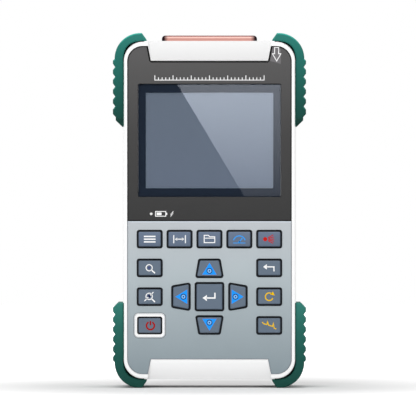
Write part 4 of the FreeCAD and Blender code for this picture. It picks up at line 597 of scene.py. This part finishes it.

# Painted shade where each bumper meets the rim: a line along the side and another round the corner.
CORNER, SHADE_LINE = 10.9, 0.5    # radius of the rim's corners, and width of the painted shade line
SHADE_LINE_SHORT = 1.2            # how much shorter than its bumper the painted shade line is
shell_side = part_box("front_shell")[1].x / MM
shell_low, shell_high = (z / MM for z in height_of("front_shell"))
for bumper in ("bumper_upper_left", "bumper_upper_right", "bumper_lower_left", "bumper_lower_right"):
    low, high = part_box(bumper)
    side = -1 if bumper.endswith("left") else 1
    upper = "upper" in bumper
    start = (low.z if upper else high.z) / MM
    inner_end = min(abs(low.x), abs(high.x)) / MM
    corner_z = shell_high - CORNER if upper else shell_low + CORNER
    sweep = arc_points((shell_side - CORNER, corner_z), CORNER - SHADE_LINE / 2, 0, 90 if upper else -90, 16)
    tip = (inner_end + SHADE_LINE_SHORT, shell_high - SHADE_LINE / 2 if upper else shell_low + SHADE_LINE / 2)
    straight = [(side * (shell_side - SHADE_LINE / 2), start), (side * (shell_side - SHADE_LINE / 2), corner_z)]
    corner = [(side * x, z) for x, z in sweep + [tip]]
    flat_mark(bumper + "_lip", "housing", plane_of("front_shell"), "lip", ribbon(straight, SHADE_LINE))
    flat_mark(bumper + "_lip_corner", "housing", plane_of("front_shell"), "shaded_lip",
               ribbon(corner, SHADE_LINE * 0.9))


# ---------------------------------------------------------------- studio

SQUARE = ((-1, -1), (1, -1), (1, 1), (-1, 1))


def flat_piece(name, corners, finish):
    """A flat sheet of the studio, which is no part of the tester."""
    mesh = bpy.data.meshes.new(name)
    mesh.from_pydata(corners, [], [list(range(len(corners)))])
    made = bpy.data.objects.new(name, mesh)
    bpy.context.scene.collection.objects.link(made)
    mesh.materials.append(finish)
    return made


# Pale paper, rolled out flat: dull, with faint clouds in its sheen. The camera sees it glow more and more
# away from the tester, as paper with lamps of its own does, so that only the shadow at the foot stays grey.
FLOOR_HALF, PAPER_CLOUD = 2.5, 125 * MM
GLOW_STARTS, GLOW_FULL = 90 * MM, 350 * MM
floor_finish, tree = new_finish("pale_paper_rolled_out")
cloud = add(tree, "ShaderNodeTexNoise", {"Scale": 2 * FLOOR_HALF / PAPER_CLOUD})
gloss = add(tree, "ShaderNodeMapRange", {"To Min": 0.8, "To Max": 0.95}, {"Value": cloud.outputs["Fac"]})
paper = add(tree, "ShaderNodeBsdfPrincipled", {"Base Color": colour("#e6e6e6")},
            {"Roughness": gloss.outputs["Result"]})
place = add(tree, "ShaderNodeTexCoord")
away = add(tree, "ShaderNodeVectorMath", {"operation": "LENGTH"}, {0: place.outputs["Object"]})
fade = add(tree, "ShaderNodeMapRange",
           {"From Min": GLOW_STARTS, "From Max": GLOW_FULL, "To Min": 0.02, "To Max": 0.9},
           {"Value": away.outputs["Value"]})
glow = add(tree, "ShaderNodeEmission", {"Color": colour("#ffffff")}, {"Strength": fade.outputs["Result"]})
glowing = add(tree, "ShaderNodeAddShader", links={0: paper.outputs[0], 1: glow.outputs[0]})
ray = add(tree, "ShaderNodeLightPath")
seen = add(tree, "ShaderNodeMixShader",
           links={0: ray.outputs["Is Camera Ray"], 1: paper.outputs[0], 2: glowing.outputs[0]})
add(tree, "ShaderNodeOutputMaterial", links={"Surface": seen.outputs[0]})
flat_piece("floor", [(x * FLOOR_HALF, y * FLOOR_HALF, 0) for x, y in SQUARE], floor_finish)

# A white room: full white behind the tester, a little darker as light.
ROOM_LIGHT = 0.68
world = bpy.data.worlds.new("studio")
bpy.context.scene.world = world
world.use_nodes = True
tree = world.node_tree
tree.nodes.clear()
ray = add(tree, "ShaderNodeLightPath")
room = add(tree, "ShaderNodeBackground", {"Color": colour("#ffffff"), "Strength": ROOM_LIGHT})
backdrop = add(tree, "ShaderNodeBackground", {"Color": colour("#ffffff"), "Strength": 1.0})
choice = add(tree, "ShaderNodeMixShader",
             links={0: ray.outputs["Is Camera Ray"], 1: room.outputs[0], 2: backdrop.outputs[0]})
add(tree, "ShaderNodeOutputWorld", links={"Surface": choice.outputs[0]})


def soft_box(name, at, wide, tall, watts):
    """A rectangular lamp that looks at the middle of the tester."""
    lamp = bpy.data.lights.new(name, "AREA")
    lamp.shape = "RECTANGLE"
    lamp.size, lamp.size_y, lamp.energy = wide, tall, watts
    made = bpy.data.objects.new(name, lamp)
    bpy.context.scene.collection.objects.link(made)
    made.location = at
    made.rotation_euler = (Vector((0.0, 0.0, 0.1)) - Vector(at)).to_track_quat("-Z", "Y").to_euler()


# One soft box hangs over the tester; the main one stands in front on the left.
soft_box("soft_box_top", at=(0.05, 0.05, 1.5), wide=0.9, tall=0.5, watts=4.0)
soft_box("soft_box_front", at=(-0.45, -1.6, 1.25), wide=1.2, tall=1.0, watts=16.5)

# The camera looks level at the front from 3 metres; VIEW_WIDE is what it takes in at the front rim.
VIEW_WIDE, CAMERA_AWAY, CAMERA_SIDE, CAMERA_HIGH = 228.4 * MM, 3000 * MM, -0.8 * MM, 98.8 * MM
lens = bpy.data.cameras.new("camera")
lens.sensor_width = 36.0
lens.lens = lens.sensor_width * CAMERA_AWAY / VIEW_WIDE
camera = bpy.data.objects.new("camera", lens)
bpy.context.scene.collection.objects.link(camera)
camera.location = (CAMERA_SIDE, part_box("front_shell")[0].y - CAMERA_AWAY, CAMERA_HIGH)
camera.rotation_euler = (math.radians(90), 0, 0)
bpy.context.scene.camera = camera


def only_mirrored(piece):
    """A studio card or flag that nothing but a reflection sees."""
    piece.visible_camera = False
    piece.visible_diffuse = False
    piece.visible_shadow = False
    piece.visible_transmission = False
    piece.visible_volume_scatter = False


# A bright card before the window: its slanting edge crosses the pane, and it is brightest at the top.
CARD_AWAY = 700 * MM
GLARE = [(-17.8, 167), (60, 167), (60, 85), (31.3, 85)]    # its reflection's corners, in millimetres
GLARE_LOW, GLARE_HIGH = 100, 166    # the heights on the window between which it brightens
CARD_DIM, CARD_BRIGHT = 0.7, 4.0
window_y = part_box("screen_window")[0].y


def card_point(x, z):
    """The point of the card that the camera sees mirrored at (x, z) millimetres on the window."""
    stretch = CARD_AWAY / CAMERA_AWAY
    x, z = x * MM, z * MM
    eye = camera.location
    return (x + (x - eye.x) * stretch, window_y - CARD_AWAY, z + (z - eye.z) * stretch)


card_finish, tree = new_finish("white_card_lit")
place = add(tree, "ShaderNodeTexCoord")
axes = add(tree, "ShaderNodeSeparateXYZ", links={"Vector": place.outputs["Object"]})
fade = add(tree, "ShaderNodeMapRange",
           {"From Min": card_point(0, GLARE_LOW)[2], "From Max": card_point(0, GLARE_HIGH)[2],
            "To Min": CARD_DIM, "To Max": CARD_BRIGHT}, {"Value": axes.outputs["Z"]})
glow = add(tree, "ShaderNodeEmission", {"Color": colour("#eef4ff")}, {"Strength": fade.outputs["Result"]})
add(tree, "ShaderNodeOutputMaterial", links={"Surface": glow.outputs[0]})
only_mirrored(flat_piece("reflector_card", [card_point(x, z) for x, z in GLARE], card_finish))

# A dark flag behind the card keeps the white room out of the window and the satin panels.
FLAG_AWAY, FLAG_HALF = 900 * MM, 800 * MM
flag_finish, tree = new_finish("dark_felt_flag")
felt = add(tree, "ShaderNodeEmission", {"Color": colour("#1c1d20"), "Strength": 1.0})
add(tree, "ShaderNodeOutputMaterial", links={"Surface": felt.outputs[0]})
flag_corners = [(x * FLAG_HALF, -FLAG_AWAY, z * FLAG_HALF) for x, z in SQUARE]
only_mirrored(flat_piece("dark_flag", flag_corners, flag_finish))

view = bpy.context.scene.view_settings
view.view_transform = "Standard"
